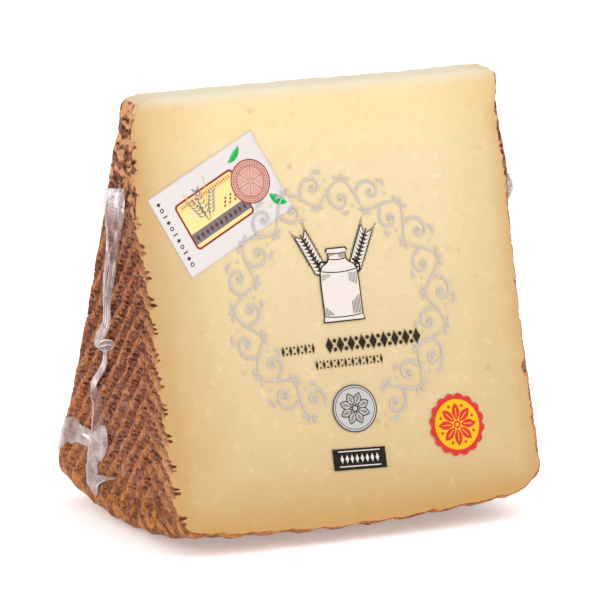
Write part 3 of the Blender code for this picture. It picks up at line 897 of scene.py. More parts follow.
def vine_ring(ink, centre, middle, bays, opening, colour):
    """An open ring of vine: a stem that sways as a sine, with a spiral and leaves in every bay.

    A place on it is u along the ring and v outwards. A spiral leaves the stem where it crosses the
    middle, and its radius shrinks by the same share in every turn.
    """
    long = 2 * math.pi * middle * (1 - 2 * opening) / bays
    first = math.pi / 2 + 2 * math.pi * opening

    def on_ring(u, v):
        angle, radius = first + u / middle, middle + v
        return np.stack([centre[0] + radius * np.cos(angle), centre[1] + radius * np.sin(angle)], -1)

    u = np.linspace(0.25 * long, (bays - 0.25) * long, 40 * bays)
    sway = 2.4 * np.sin(math.pi * u / long)
    ink.add(stroke(on_ring(u, sway), 0.50 + 0.22 * np.cos(2 * math.pi * u / long)), colour, RING_OPACITY)
    sweep = np.linspace(0.0, 9.2, 70)
    radius = long * 0.47 * np.exp(-0.25 * sweep)
    for bay in range(bays):
        side = 1 if bay % 2 == 0 else -1
        crest = (bay + 0.5) * long
        curl_u = crest + radius * np.cos(2.88 + sweep)
        curl_v = side * (-1.5 + radius * np.sin(2.88 + sweep))
        keep = curl_u > 0.0
        ink.add(stroke(on_ring(curl_u, curl_v)[keep], (0.76 - 0.04 * sweep)[keep]), colour, RING_OPACITY)
        ink.dot(on_ring(crest, side * -1.5), 0.5, colour, RING_OPACITY, count=24)
        leaves = [((lean * 0.5, 2.4), (lean * 2.1, 2.6 + rise - 0.7 * abs(lean)), wide, -0.2 * lean)
                  for lean, rise, wide in ((-1.0, 1.1, 0.8), (0.0, 1.6, 0.9), (1.0, 1.1, 0.8))]
        for foot, tip, wide, bend in (*leaves, ((0.3, -4.3), (2.7, -4.0), 0.9, 0.2)):
            foot, tip = (on_ring(crest + u, side * v) for u, v in (foot, tip))
            ink.add(leaf(foot, tip, wide, bend=bend * side), colour, RING_OPACITY)
        ink.dot(on_ring((bay + 0.97) * long, side * -2.6), 0.32, colour, RING_OPACITY)


def wheat_ear(ink, foot, top, white, black):
    """A stalk with pairs of grains, each a white leaf in a black one, and long beards."""
    foot, run = np.array(foot), np.array(top) - np.array(foot)
    long = math.hypot(*run)
    ahead, side = run / long, np.array([-run[1], run[0]]) / long
    ink.line(foot, top, 0.28, black, 0.95)
    for row in range(10):
        at = foot + ahead * long * (0.36 + 0.06 * row)
        for way in (-1, 1):
            out = side * way
            tip = at + ahead * 1.9 + out * 1.35
            ink.add(leaf(at, tip, 1.2, bend=0.18 * way), black, 0.95, 1)
            grain = leaf(at + ahead * 0.3 + out * 0.2, tip - ahead * 0.3, 0.7, bend=0.15 * way)
            ink.add(grain, white, 0.95, 2)
            ink.line(at + ahead * 0.6 + out * 0.4, tip - ahead * 0.5, 0.1, black, 0.8, 3, 4)
            ink.line(tip, tip + ahead * 1.6 + out * 0.6, 0.13, black, 0.9, count=4)


def milk_churn(ink, across, top, base, white, black):
    """A churn with a flanged lid and two handles: filled outlines, the white ones a little smaller."""
    rows, half_widths = np.array(CHURN_PROFILE).T
    down = np.linspace(0.0, rows[-1], 50)
    half = np.interp(down, rows, half_widths)
    down = top + down * (base - top) / rows[-1]
    for grow, colour, level in ((0.32, black, 3), (0.0, white, 4)):
        wide = (half[:, None] + grow) * even(9)
        stretch = down + (down - (top + base) / 2) * grow * 0.12
        ink.add(np.stack(np.broadcast_arrays(across + wide, stretch[:, None]), -1), colour, 0.96, level)
    for share, bend in ((0.055, 0.2), (0.14, 0.2), (0.30, 0.45), (0.93, 0.35)):
        at = top + (base - top) * share
        reach = np.interp(at, down, half) * 0.98
        line = straight((across - reach, at), (across + reach, at), 20)
        line[:, 1] += bend * (1 - ((line[:, 0] - across) / reach) ** 2)
        ink.add(stroke(line, 0.22), black, 0.95, 5)
    for way, start, end in ((-1, 0.58, 1.02), (1, -0.25, 0.17)):
        ink.add(stroke(arc((across + way * 3.7, top + 4.3), 1.7, start, end, 24), 0.42), black, 0.95, 3)
        for row in range(6):
            long = 2.0 - 0.3 * row + (2.2 if way > 0 else 0.0)
            low, neck = across + way * (4.3 - 0.36 * row), across + way * (1.8 - 0.28 * row)
            for start, end, width in (
                ((low, base - 1.2 - long), (low, base - 1.3), 0.16),
                ((low, top + 5.4), (low - way * 0.15, top + 5.6 + long * 0.6), 0.13),
                ((neck, top + 1.1), (neck, top + 1.1 + 0.3 * long), 0.12),
            ):
                ink.line(start, end, width, black, 0.9, 5, 4)


def lozenge(ink, centre, wide, high, colour, level=0, opacity=0.95):
    """A lozenge with slightly hollow sides: half its width falls as a power of the height."""
    share = even(13)[:, None]
    x = centre[0] + wide / 2 * (1 - np.abs(share)) ** 1.15 * even(5)
    ink.add(np.stack(np.broadcast_arrays(x, centre[1] + high / 2 * share), -1), colour, opacity, level)


def ornament_row(ink, start, end, high, heavy, colour):
    """A row of lozenges with a dot above and below each gap. heavy is a lozenge's width to its height."""
    start, run = np.array(start), np.array(end) - np.array(start)
    count = max(int(round(math.hypot(*run) / (high * 0.78))), 2)
    for place in range(count):
        lozenge(ink, start + run * (place + 0.5) / count, high * heavy, high, colour)
        for way in (-0.26, 0.26) if place else ():
            gap = start + run * place / count + np.array([0.0, way * high])
            ink.dot(gap, 0.11 * high * (0.6 + heavy), colour, 0.95)


def medallion(ink, centre, radius, grey, dark):
    """A grey disc with a dark rim, and an eight-petalled rosette with fine veins."""
    centre, squash = np.array(centre), 0.94
    ink.add(disc(centre, radius, squash=squash), dark, 0.95)
    ink.add(disc(centre, radius - 0.3, squash=squash), grey, 0.96, 1)
    ink.add(disc(centre, radius - 0.62, radius - 0.78, squash), dark, 0.9, 2)
    for petal in range(8):
        angle = 2 * math.pi * (petal + 0.5) / 8
        ahead = np.array([math.cos(angle), math.sin(angle) * squash])
        side = np.array([-ahead[1], ahead[0]])
        root, tip = centre + ahead * 0.8, centre + ahead * 3.9
        ink.add(leaf(root, tip, 2.0), dark, 0.8, 2)
        ink.add(leaf(root + ahead * 0.25, tip - ahead * 0.35, 1.45), grey, 0.95, 3)
        ink.line(root, tip - ahead * 0.6, 0.13, dark, 0.8, 4, 6)
        for way, (foot, top, out) in product((-1, 1), ((0.9, 1.8, 0.5), (1.5, 2.3, 0.35))):
            ink.line(root + ahead * foot, root + ahead * top + side * way * out, 0.1, dark, 0.8, 4, 4)
    ink.add(disc(centre, 0.85, squash=squash, count=32), dark, 0.85, 5)
    ink.add(disc(centre, 0.5, squash=squash, count=32), grey, 0.95, 6)


def round_seal(ink, centre, radius, red, yellow):
    """A red disc with round lobes, and a yellow field with a red flower of eight petals and eight buds."""
    lobes, steps = 16, 12
    centre = np.array(centre)
    share = np.linspace(0.0, lobes, lobes * steps + 1)
    rim = radius * (0.91 + 0.09 * np.abs(np.sin(math.pi * share)))
    ink.add(disc(centre, rim, count=len(rim)), red, 0.95)
    ink.add(disc(centre, radius * 0.80), yellow, 0.96, 1)
    for petal in range(8):
        angle = 2 * math.pi * petal / 8
        ahead, gap = (np.array([math.cos(turn), math.sin(turn)]) for turn in (angle, angle + math.pi / 8))
        ink.add(leaf(centre + ahead * 1.0, centre + ahead * 4.7, 1.9), red, 0.96, 2)
        ink.line(centre + ahead * 1.6, centre + ahead * 3.6, 0.2, yellow, 0.96, 3, 6)
        ink.dot(centre + gap * 4.3, 0.36, red, 0.96, 2, 16)
    ink.dot(centre, 0.85, red, 0.96, 2, 24)
    ink.dot(centre, 0.42, yellow, 0.96, 3, 24)


def label_design(ink):
    """The label's own print in its frame: u from its left short side and v from its upper long side."""
    look = settings().label

    # A framed panel: an orange band, a yellow field and a grey band with lozenges
    panel = (13.0, 10.0)
    ink.add(rounded_box(panel, 16.8, 11.2, 1.0), look.brown, 0.97, 1)
    ink.add(rounded_box(panel, 15.9, 10.3, 0.7), look.yellow, 0.97, 2)
    for x, y, colour in (((5.3, 20.7), (5.0, 6.6), look.orange), ((5.05, 20.95), (11.8, 14.3), look.grey)):
        ink.add(np.stack(np.meshgrid(x, y), -1), colour, 0.97, 3)
    for place in range(11):
        lozenge(ink, (6.2 + place * 1.36, 13.1), 0.8, 1.7, look.bead, 4, 0.75)
    for place in range(22):
        at = 6.2 + place * 0.65
        ink.line((at, 5.4), (at + 0.1, 6.1), 0.22, look.brown, 0.75, 4, 3)

    # A round rosette with petals between two rings of dots, and two green leaves
    hub, reach = np.array((24.0, 9.4)), 4.9
    ink.add(disc(hub, reach), look.brown, 0.97, 5)
    ink.add(disc(hub, reach - 0.25), look.rose, 0.97, 6)
    ink.add(disc(hub, reach * 0.70, reach * 0.67), look.brown, 0.6, 7)
    for petal in range(6):
        turn = 2 * math.pi * petal / 6
        ahead = np.array([math.cos(turn), math.sin(turn)]) * reach
        ink.add(leaf(hub + ahead * 0.08, hub + ahead * 0.62, 0.9), look.petal, 0.9, 7)
        ink.line(hub + ahead * 0.1, hub + ahead * 0.66, 0.14, look.brown, 0.7, 8, 6)
    for ring, count in ((0.77, 40), (0.87, 46)):
        for dot in range(count):
            turn = (dot + ring * 3) / count
            centre = arc(hub, reach * ring, turn, turn, 1)[0]
            ink.add(disc(centre, 0.15, count=8, rings=2), look.brown, 0.7, 7)
    for foot, tip, broad in (((21.4, 3.2), (25.6, 1.3), 1.5), ((26.6, 14.0), (29.4, 17.8), 2.0)):
        ink.add(leaf(foot, tip, broad, 0.1), look.green, 0.97, 4)
        ink.line(foot, tip, 0.14, look.vein, 0.9, 5, 6)

    # Grey sprigs and straws over the yellow field
    for top in ((8.0, 3.4), (14.6, 2.4)):
        ink.line((10.8, 11.4), top, 0.22, look.straw, 0.9, 5)
    for left, top, bend in ((10.4, (8.6, 5.2), 0.12), (10.8, (11.4, 3.6), -0.08), (11.2, (14.6, 6.0), -0.1)):
        foot = np.array((left, 11.5))
        run = np.array(top) - foot
        ink.add(leaf(foot, top, 0.3, bend), look.sprig, 0.95, 5)
        for place, way in product(range(6), (-1, 1)):
            at = foot + run * (0.25 + 0.13 * place)
            tip = at + run * 0.12 + np.array([way * 0.95, way * 0.15])
            ink.add(leaf(at, tip, 0.42, 0.1 * way), look.sprig, 0.9, 5)
    for place in range(9):
        at = (15.4 + place * 0.5, 10.9 - 0.7 * (place % 3))
        ink.add(leaf(at, (at[0] + 0.6, at[1] - 0.5), 0.42), look.brown, 0.85, 5)

    # A column of small marks beside the short side
    for place in range(11):
        at = 2.2 + place * 1.5
        if place % 3 == 0:
            lozenge(ink, (1.7, at), 1.2, 1.0, look.mark, 1)
        elif place % 3 == 1:
            ink.add(disc((1.7, at), 0.5, 0.26, count=20, rings=3), look.mark, 0.9, 1)
        else:
            ink.line((1.1, at), (2.3, at), 0.3, look.mark, 0.9, 1, 4)


# Finishes


class Value:
    """A node's output whose arithmetic adds Math nodes."""

    def __init__(self, finish, socket):
        self.finish = finish
        self.socket = socket

    def maths(self, operation, first, second=0.0):
        return self.finish.node("ShaderNodeMath", {0: first, 1: second}, operation=operation)

    def __add__(self, other):
        return self.maths("ADD", self, other)

    def __sub__(self, other):
        return self.maths("SUBTRACT", self, other)

    def __rsub__(self, other):
        return self.maths("SUBTRACT", other, self)

    def __mul__(self, other):
        return self.maths("MULTIPLY", self, other)

    __radd__ = __add__
    __rmul__ = __mul__

    def most(self, other):
        return self.maths("MAXIMUM", self, other)

    def least(self, other):
        return self.maths("MINIMUM", self, other)

    def cosine(self):
        return self.maths("COSINE", self)

    def fraction(self):
        return self.maths("FRACT", self)

    def step(self, low, high):
        """Eased from 0 below low to 1 above high."""
        reach = {"Value": self, "From Min": low, "From Max": high}
        return self.finish.node("ShaderNodeMapRange", reach, interpolation_type="SMOOTHSTEP")


class Finish:
    """A material and the nodes that give a surface its look."""

    def __init__(self, name):
        self.material = bpy.data.materials.new(name)
        self.material.use_nodes = True
        self.tree = self.material.node_tree
        self.tree.nodes.clear()

    def node(self, kind, inputs=None, output=0, **options):
        """Adds a node, sets its options, fills its sockets and gives the output, where it has one."""
        node = self.tree.nodes.new(kind)
        for name, value in options.items():
            setattr(node, name, value)
        for key, value in (inputs or {}).items():
            if isinstance(value, Value):
                self.tree.links.new(value.socket, node.inputs[key])
            else:
                node.inputs[key].default_value = value
        return Value(self, node.outputs[output]) if node.outputs else None

    def field(self, name, output="Fac"):
        return self.node("ShaderNodeAttribute", None, output, attribute_name=name)

    def place(self):
        return self.node("ShaderNodeTexCoord", None, "Object")

    def stretched(self, vector, scale, turn=(0.0, 0.0, 0.0)):
        return self.node("ShaderNodeMapping", {"Vector": vector, "Scale": scale, "Rotation": turn})

    def noise(self, vector, lump, detail, rough=0.5, warp=0.0):
        """Noise whose lumps are about this many millimetres across."""
        inputs = {"Vector": vector, "Scale": 1 / (lump * MM), "Detail": detail, "Roughness": rough,
                  "Distortion": warp}
        return self.node("ShaderNodeTexNoise", inputs)

    def cells(self, vector, lump):
        """Distance to the nearest of scattered points this many millimetres apart."""
        return self.node("ShaderNodeTexVoronoi", {"Vector": vector, "Scale": 1 / (lump * MM)})

    def part(self, vector, axis):
        """One number of a vector."""
        return self.node("ShaderNodeSeparateXYZ", {0: vector}, axis)

    def mix(self, factor, first, second):
        """Colours mixed by a factor."""
        first, second = (c if isinstance(c, Value) else (*c[:3], 1.0) for c in (first, second))
        return self.node("ShaderNodeMix", {0: factor, 6: first, 7: second}, 2, data_type="RGBA")

    def layers(self, colour, *more):
        """A colour with others laid over it in turn, each as a factor and a colour."""
        for factor, over in more:
            colour = self.mix(factor, colour, over)
        return colour

    def bump(self, height, millimetres, strength):
        inputs = {"Height": height, "Distance": millimetres * MM, "Strength": strength}
        return self.node("ShaderNodeBump", inputs)

    def end(self, kind, inputs):
        """Adds the shader, sends it to the surface and returns the material."""
        self.node("ShaderNodeOutputMaterial", {"Surface": self.node(kind, inputs)})
        return self.material


def cheese_finish():
    """Tan strands, dark bands with pits and pale paste, mixed by how deep a point lies in the rind."""
    rind, paste = settings().rind, settings().paste
    look = Finish("cheese_and_rind")
    place = look.place()
    noise = partial(look.noise, place)
    inside, cut, woven, braid = (look.field(name) for name in ("inside", "cut", "woven", "braid"))
    height = look.part(place, "Z")
    fine, small, broad = noise(0.4, 2.0, 0.6), noise(1.3, 3.0, 0.6), noise(7.0, 3.0, 0.55)
    speck, lump, drift = fine - 0.5, small - 0.5, broad - 0.5
    sloped = look.stretched(place, (1.0, 1.0, 1.0), (math.radians(-14), 0.0, 0.0))
    strands = look.noise(look.stretched(sloped, (1.0, 0.3, 1.0)), 0.36, 2.0, 0.6, 0.4)
    thread = strands - 0.5

    # The woven print: a band with rungs in every row, lumps near the tip, and teeth over the front edge
    row, along, rung = (look.part(look.field("weave", "Vector"), axis) for axis in "XYZ")
    edge_row, reach = look.field("edge_row"), look.field("reach")
    fore = 1 - along.step(-2.0, 2.0)
    pitch = RIDGE_PITCH * MM
    grass = look.node("ShaderNodeCombineXYZ", {0: row * pitch, 1: along * (0.28 * MM), 2: fore * pitch})
    grass = look.noise(grass, 0.6, 2.0, 0.6, 0.3)
    level = ((rung + lump * 1.1 + speck * 0.4) * (2 * math.pi)).cosine() * 0.5 + 0.5
    blotch = noise(2.2, 4.0, 0.7)
    stain = blotch - 0.5
    phase = (row + lump * 0.40 + speck * 0.25).fraction() + fore * 0.06
    ahead = level * 0.16 + stain * 0.5
    band = (phase + ahead).step(*BAND_START) * (1 - (phase - ahead * 0.4).step(*BAND_END))
    patchy = noise(1.8, 1.0).step(0.40, 0.58)
    top = height.step(*TOP_ZONE)
    weight = woven * (1 - top * 0.75)
    cluster = (noise(2.6, 1.0) + lump * 0.5).step(0.43, 0.52) * woven * top
    spots = cluster * (1 - (look.cells(place, 1.1) + speck * 0.3).step(0.34, 0.60))
    slits = (band * level.step(0.25, 0.80) * (patchy * 0.85 + 0.15) * weight).most(braid * 0.6)
    band = (band * weight).most(braid)
    edge_phase = (edge_row + speck * 0.10).fraction()
    tooth = edge_phase.step(*TOOTH_START) * (1 - edge_phase.step(*TOOTH_END))
    tooth = tooth * level.step(0.20, 0.65) * reach * woven
    notch = (1 - edge_phase) * reach * woven

    # The rind
    in_rind = look.field("rind") + tooth * 0.95 - notch * 1.3 + reach * 0.5 + speck * 0.30 + lump * 0.3
    in_rind = in_rind.step(-0.05, 0.07)
    low, foot = 1 - height.step(*LOW_ZONE), 1 - height.step(*FOOT_ZONE)
    streak = (grass + thread * 0.8 + lump * 0.4).step(0.42, 0.58)
    pale_edge = (1 - (cut + lump * 5.0).step(0.5, 8.0)) * fore.most(top)
    swirl = look.noise(look.stretched(place, (1.0, 1.0, 0.6)), 4.0, 2.0, 0.6, 1.5)
    ridge = look.layers(
        look.mix(streak, rind.shade, rind.ridge),
        (low * 0.25, rind.low_ridge),
        ((broad + lump * 0.5).step(0.46, 0.62) * 0.35, rind.rust),
        (blotch.step(0.50, 0.56) * (0.75 - low * 0.25), rind.rust),
        (pale_edge * (low * 0.15 + 0.45) + top * 0.45, rind.edge),
        (foot * 0.8, look.mix(swirl.step(0.44, 0.56), rind.foot_dark, rind.foot_light)),
        ((strands + speck * 0.7).step(0.53, 0.60) * 0.5, rind.hollow),
        # Painted highlights: fine light flecks along the ridges
        ((fine + (grass - 0.5) * 0.6).step(0.54, 0.62) * 0.55, rind.edge),
    )
    smear = look.noise(look.stretched(place, (1.0, 1.0, 0.45)), 2.2, 3.0, 0.6, 1.0)
    rough = thread * 0.9 + stain * 0.6
    # The bands and the pits lie in the grooves: darker partly as the rind's own brown and partly as painted
    # shade in the recesses
    hollow = (band * (0.9 - low * 0.2) + rough + lump * 1.2).step(0.25, 0.75)
    dark = (slits * (1 - low * 0.2 - foot * 0.3) + rough + lump * 1.0).step(0.40, 0.72)
    dark = dark.most((smear + thread * 0.2).step(0.54, 0.60) * foot * 0.8).most(spots)
    clear = 1 - low * 0.15 - pale_edge * (1 - top) * 0.3
    # Painted glints: flecks of the film's reflection in the bands and the lumps
    painted_glint = (noise(1.1, 1.0) + speck * 0.3).step(0.60, 0.68) * (band + cluster).step(0.3, 0.8)
    # A faint painted sheen of the film in patches low on the flats, in the pinkish grey of the painted film
    # reflection
    low_sheen = noise(5.0, 1.0).step(0.45, 0.65) * (low - foot * 0.8) * woven
    backward = look.part(place, "Y").step(0.007, 0.020) * (1 - height.step(0.018, 0.034))
    between = look.mix(noise(1.6, 2.0).step(0.42, 0.56), rind.russet, rind.hollow)
    rind_colour = look.layers(
        ridge,
        (hollow * clear * (0.8 - foot * 0.4), between),
        (cluster * 0.8, look.mix(small.step(0.45, 0.60), rind.rust, rind.hollow)),
        (dark * clear * 0.85, rind.pit),
        (painted_glint * (0.45 - foot * 0.3), rind.film_sheen),
        (low_sheen * 0.08, rind.film_sheen),
        (backward * 0.09, rind.back_edge),
        (tooth.step(0.25, 0.6) * (0.85 - top * 0.6), rind.tip),
    )

    # The paste
    near_rind = 1 - (inside + drift * 3.0).step(-1.0, 6.0)
    deep_glow = 1 - (inside + drift * 8.0).step(0.0, 22.0)
    down = 1 - height.step(0.0, 0.097)
    at_tip = (height + lump * 0.002).step(*TIP_ZONE)
    blush = (look.field("rind") + lump * 1.2).step(-1.5, 0.1)
    cloud = look.noise(look.stretched(place, (1.0, 1.0, 1.6)), 3.4, 2.0)
    flecks = noise(2.6, 3.0, 0.7) + fine * 0.1
    # Painted shade: small holes shown as darker spots
    hole_shade = 1 - (look.cells(place, 6.5) + lump * 0.2).step(0.05, 0.16)
    rightward = look.part(place, "X").step(-0.02, 0.03)
    near_rind = near_rind * (0.52 - down * 0.12 - height.step(0.084, 0.094) * 0.32)
    # Painted shade: a greyer band at mid height beside the rind on the left
    side_shade = height.step(0.030, 0.050) * (1 - height.step(0.060, 0.076))
    side_shade = side_shade * (1 - (inside + lump * 4.0).step(3.0, 14.0))
    paste_colour = look.layers(
        paste.heart,
        # Darker towards the bottom: partly the paste's own deeper cream near the wall, partly painted shade
        (down, paste.outer),
        (drift.step(0.05, 0.3) * 0.15, paste.drift),
        (cloud.step(0.60, 0.78) * 0.21, paste.cloud),
        (flecks.step(0.58, 0.85) * 0.22, paste.fleck),
        (hole_shade * broad.step(0.46, 0.56) * 0.35, paste.eye),
        (height.step(0.078, 0.091) * 0.3, paste.shoulder),
        (deep_glow * (0.42 - rightward * 0.14), paste.under_rind),
        (near_rind, paste.under_rind),
        ((1 - height.step(0.002, 0.018)) * (rightward * 0.3 + 0.25), paste.under_rind),
        (side_shade * (1 - rightward) * 0.35, paste.side_shade),
        (blush * (0.5 - rightward * 0.25), paste.blush),
        # The tip's greyish cream: partly a drier skin, partly a painted reflection of the film on the upward
        # face
        (at_tip * (0.5 + inside.step(0.0, 12.0) * 0.35), paste.skin),
    )

    grain = in_rind * (strands * 0.4 + grass * 0.4 + fine * 0.5 - dark * 0.5 - 0.6)
    return look.end("ShaderNodeBsdfPrincipled", {
        "Base Color": look.mix(in_rind, paste_colour, rind_colour),
        "Roughness": 0.5 + (1 - in_rind) * 0.05,
        "Normal": look.bump(grain + (1 - in_rind) * small * 0.10, 0.4, 0.9),
        "Specular IOR Level": 0.12,
    })


def clear_film_finish():
    """Clear film: a reflection by Fresnel, crinkled by noise, over what lies under it."""
    look = Finish("clear_film")
    place = look.place()
    crinkle = look.noise(place, 3.0, 3.0, 0.6, 1.2) + look.noise(place, 0.9, 1.0) * 0.3
    normal = look.bump(crinkle, 0.25, 0.6)
    fresnel = look.node("ShaderNodeFresnel", {"IOR": 1.45, "Normal": normal})
    fresnel = fresnel.least(0.25) * (0.15 + crinkle.step(0.75, 0.95) * 1.5)
    gloss = look.node("ShaderNodeBsdfGlossy", {"Roughness": 0.12, "Normal": normal})
    clear = look.node("ShaderNodeBsdfTransparent")
    return look.end("ShaderNodeMixShader", {0: fresnel * settings().film.gloss, 1: clear, 2: gloss})


def seal_finish():
    """Folded film: evenly milky, whiter along its creases, partly as more opaque folded film and partly as
    painted highlights, with painted glints where it is crumpled most.
    """
    look = Finish("folded_film")
    place = look.place()
    crease, haze = look.field("crease"), look.field("haze")
    crumple = look.noise(place, 0.5, 2.0, 0.6, 0.6)
    soft = look.noise(place, 2.4, 1.0)
    # Creases: partly whiter, more opaque folded film and partly painted highlights
    crease_and_shine = (crease + (soft - 0.5) * 0.5).step(0.20, 0.85)
    # Painted highlight along the most milky folds
    fold_highlight = haze.step(0.84, 1.10) * 0.6
    high = look.part(place, "Z").step(0.056, 0.066) * 0.75 + 0.25
    # Painted glints where the film is crumpled
    sparkle = (crumple + (soft - 0.5) * 0.4).step(0.50, 0.64) * haze.step(0.35, 0.80) * high
    dull = (1 - crumple.step(0.34, 0.50)) * haze.step(0.35, 0.80) * high
    milky = (haze + (soft - 0.5) * 0.7).step(0.0, 1.1)
    film = settings().film
    colour = look.mix(milky, film.thin, film.haze)
    surface = {
        "Base Color": look.mix((crease_and_shine * 0.85).most(sparkle * 0.8).most(fold_highlight), colour, film.crease),
        "Roughness": 0.18,
        "Alpha": (0.16 + milky * 0.42 + crease_and_shine * 0.40 + sparkle * 0.25 - dull * 0.30).step(0.0, 1.0),
        "Normal": look.bump(crumple * haze + soft * 0.8, 0.25, 0.6),
        "Specular IOR Level": 0.6,
    }
    return look.end("ShaderNodeBsdfPrincipled", surface)


def paper_finish():
    """White coated paper with a faint fibre."""
    look = Finish("label_paper")
    fibre = look.noise(look.place(), 0.35, 3.0, 0.6)
    label = settings().label
    surface = {
        "Base Color": look.mix(fibre.step(0.35, 0.75) * 0.3, label.paper, label.fibre),
        "Roughness": 0.5,
        "Normal": look.bump(fibre, 0.02, 0.5),
    }
    return look.end("ShaderNodeBsdfPrincipled", surface)


def ink_finish(name):
    """Ink in the colour and opacity kept at each point, thinned by a fine grain."""
    look = Finish(name)
    thin = look.noise(look.place(), 0.25, 2.0, 0.7).step(0.55, 0.8)
    ink = look.field("ink", "Color")
    surface = {
        "Base Color": look.mix(thin * 0.15, ink, settings().print.worn),
        "Alpha": look.field("ink", "Alpha") * (1 - thin * 0.12),
        "Roughness": 0.5,
        "Specular IOR Level": 0.1,
    }
    return look.end("ShaderNodeBsdfPrincipled", surface)


def floor_finish():
    """Plain pale floor with a very faint unevenness."""
    look = Finish("pale_floor")
    stage = settings().stage
    cloud = look.noise(look.place(), 400.0, 1.0)
    surface = {
        "Base Color": look.mix(cloud * 0.1, stage.floor_colour, stage.cloud),
        "Roughness": 0.6,
        "Specular IOR Level": 0.1,
        "Emission Color": (*linear(255, 255, 255), 1.0),
        "Emission Strength": stage.glow,
    }
    return look.end("ShaderNodeBsdfPrincipled", surface)


# Pieces


def flat_x(side, y, depth, stand):
    """Across position of a flat's surface, standing off by stand, with its edge bent in as an ellipse."""
    edge_along = np.where(side < 0, LEFT_EDGE[0], RIGHT_EDGE[0])
    edge_radial = np.where(side < 0, LEFT_EDGE[1], RIGHT_EDGE[1])
    radius = np.hypot(y, depth + TIP_FROM_AXIS)
    beyond = np.clip((radius - WHEEL_RADIUS + edge_radial) / edge_radial, 0.0, 0.999)
    bent = edge_along * (1 - np.sqrt(1 - beyond ** 2))
    return side * (HALF_HEIGHT + flat_swell(side, y, depth) + stand - bent) + WHEEL_MIDDLE_X


def smooth_route(route, count):
    """A route's rows at even steps: each column is joined by cubic curves with smooth slopes."""
    route = np.array(route, float)
    at = np.linspace(0, len(route) - 1, count)
    low = np.clip(at.astype(int), 0, len(route) - 2)
    t = (at - low)[:, None]
    slope = np.gradient(route, axis=0)
    return ((2 * t ** 3 - 3 * t ** 2 + 1) * route[low] + (t ** 3 - 2 * t ** 2 + t) * slope[low]
            + (3 * t ** 2 - 2 * t ** 3) * route[low + 1] + (t ** 3 - t ** 2) * slope[low + 1])


def pleats(across, along, folds, seed):
    """Thin lengthwise creases from 0 to 1: a high power of a cosine across, whose phase wanders."""
    wander = noise_at(along, across * 0.8, 1.0, 9.0, seed)
    wave = (0.5 + 0.5 * np.cos(math.pi * folds * across + 2.6 * wander)) ** 9
    return wave * (0.4 + 0.6 * smooth_step(-0.5, 0.5, noise_at(along, across * 2.0, 5.0, 4.0, seed + 4)))


def noise_share(x, y, z, across, seed):
    """Lattice noise from 0 to 1."""
    return 0.5 + 0.5 * noise_at(x, y, z, across, seed)


def thinned(a):
    """1 in the middle of a strip, falling to 0 at its two long edges."""
    return np.sqrt(np.clip(1 - a ** 6, 0.0, 1.0))


def seam_body(side, route, folds, seed, thick=0.5, lines=1.0):
    """A folded seam on a flat: a closed strip along its route, creased on top and thin at its sides."""
    count = len(route) * SEAM_STEPS
    path = smooth_route(route, count)
    run = np.gradient(path[:, :2], axis=0)
    run /= np.maximum(np.hypot(run[:, 0], run[:, 1]), 1e-9)[:, None]
    fields = {}

    def place(a, t, d):
        at = np.clip(np.round((t + 1) / 2 * (count - 1)).astype(int), 0, count - 1)
        back, down, half, lift, milky = path[at].T
        way_back, way_down = run[at].T
        out = a * half * (1 + 0.10 * noise_at(down, a * 0.5, 2.0, 1.5, seed + 2))
        y, depth, along = back - way_down * out, down + way_back * out, down + back
        crease = pleats(a, along, folds, seed) * lines * (0.35 + 0.65 * smooth_step(28.0, 36.0, depth))
        hairs = smooth_step(0.0, 0.6, noise_at(a * half, along * 0.13, 2.0, 0.55, seed + 8))
        crumple = noise_share(y, depth, 3.0, 1.2, seed + 1)
        soft = noise_share(y, depth, 7.0, 2.6, seed + 6)
        ends = smooth_step(0.0, 0.03, 1 - np.abs(t))
        rough = 0.30 + 0.35 * crease + 0.25 * soft + 0.25 * crumple * milky
        up = SEAM_THIN + thick * rough * thinned(a) * (0.3 + 0.7 * ends)
        stand = SEAM_STAND + lift * (1 - a) * 0.8 + np.where(d > 0, up, 0.0)
        rim = bell(a, -0.88, 0.10, 0.9) * (1 - milky * 0.6) + bell(a, 0.93, 0.05, 0.2)
        fields["crease"] = np.clip(np.maximum(crease, hairs * (lines * 0.5 + 0.05)) + rim, 0, 1) * ends
        fields["haze"] = milky * (0.7 + 0.4 * soft)
        return np.stack([flat_x(side, y, depth, stand), y, TIP_ABOVE_FLOOR - depth], -1)

    return *closed_box(even(SEAM_COLUMNS), even(count), even(2), place), fields


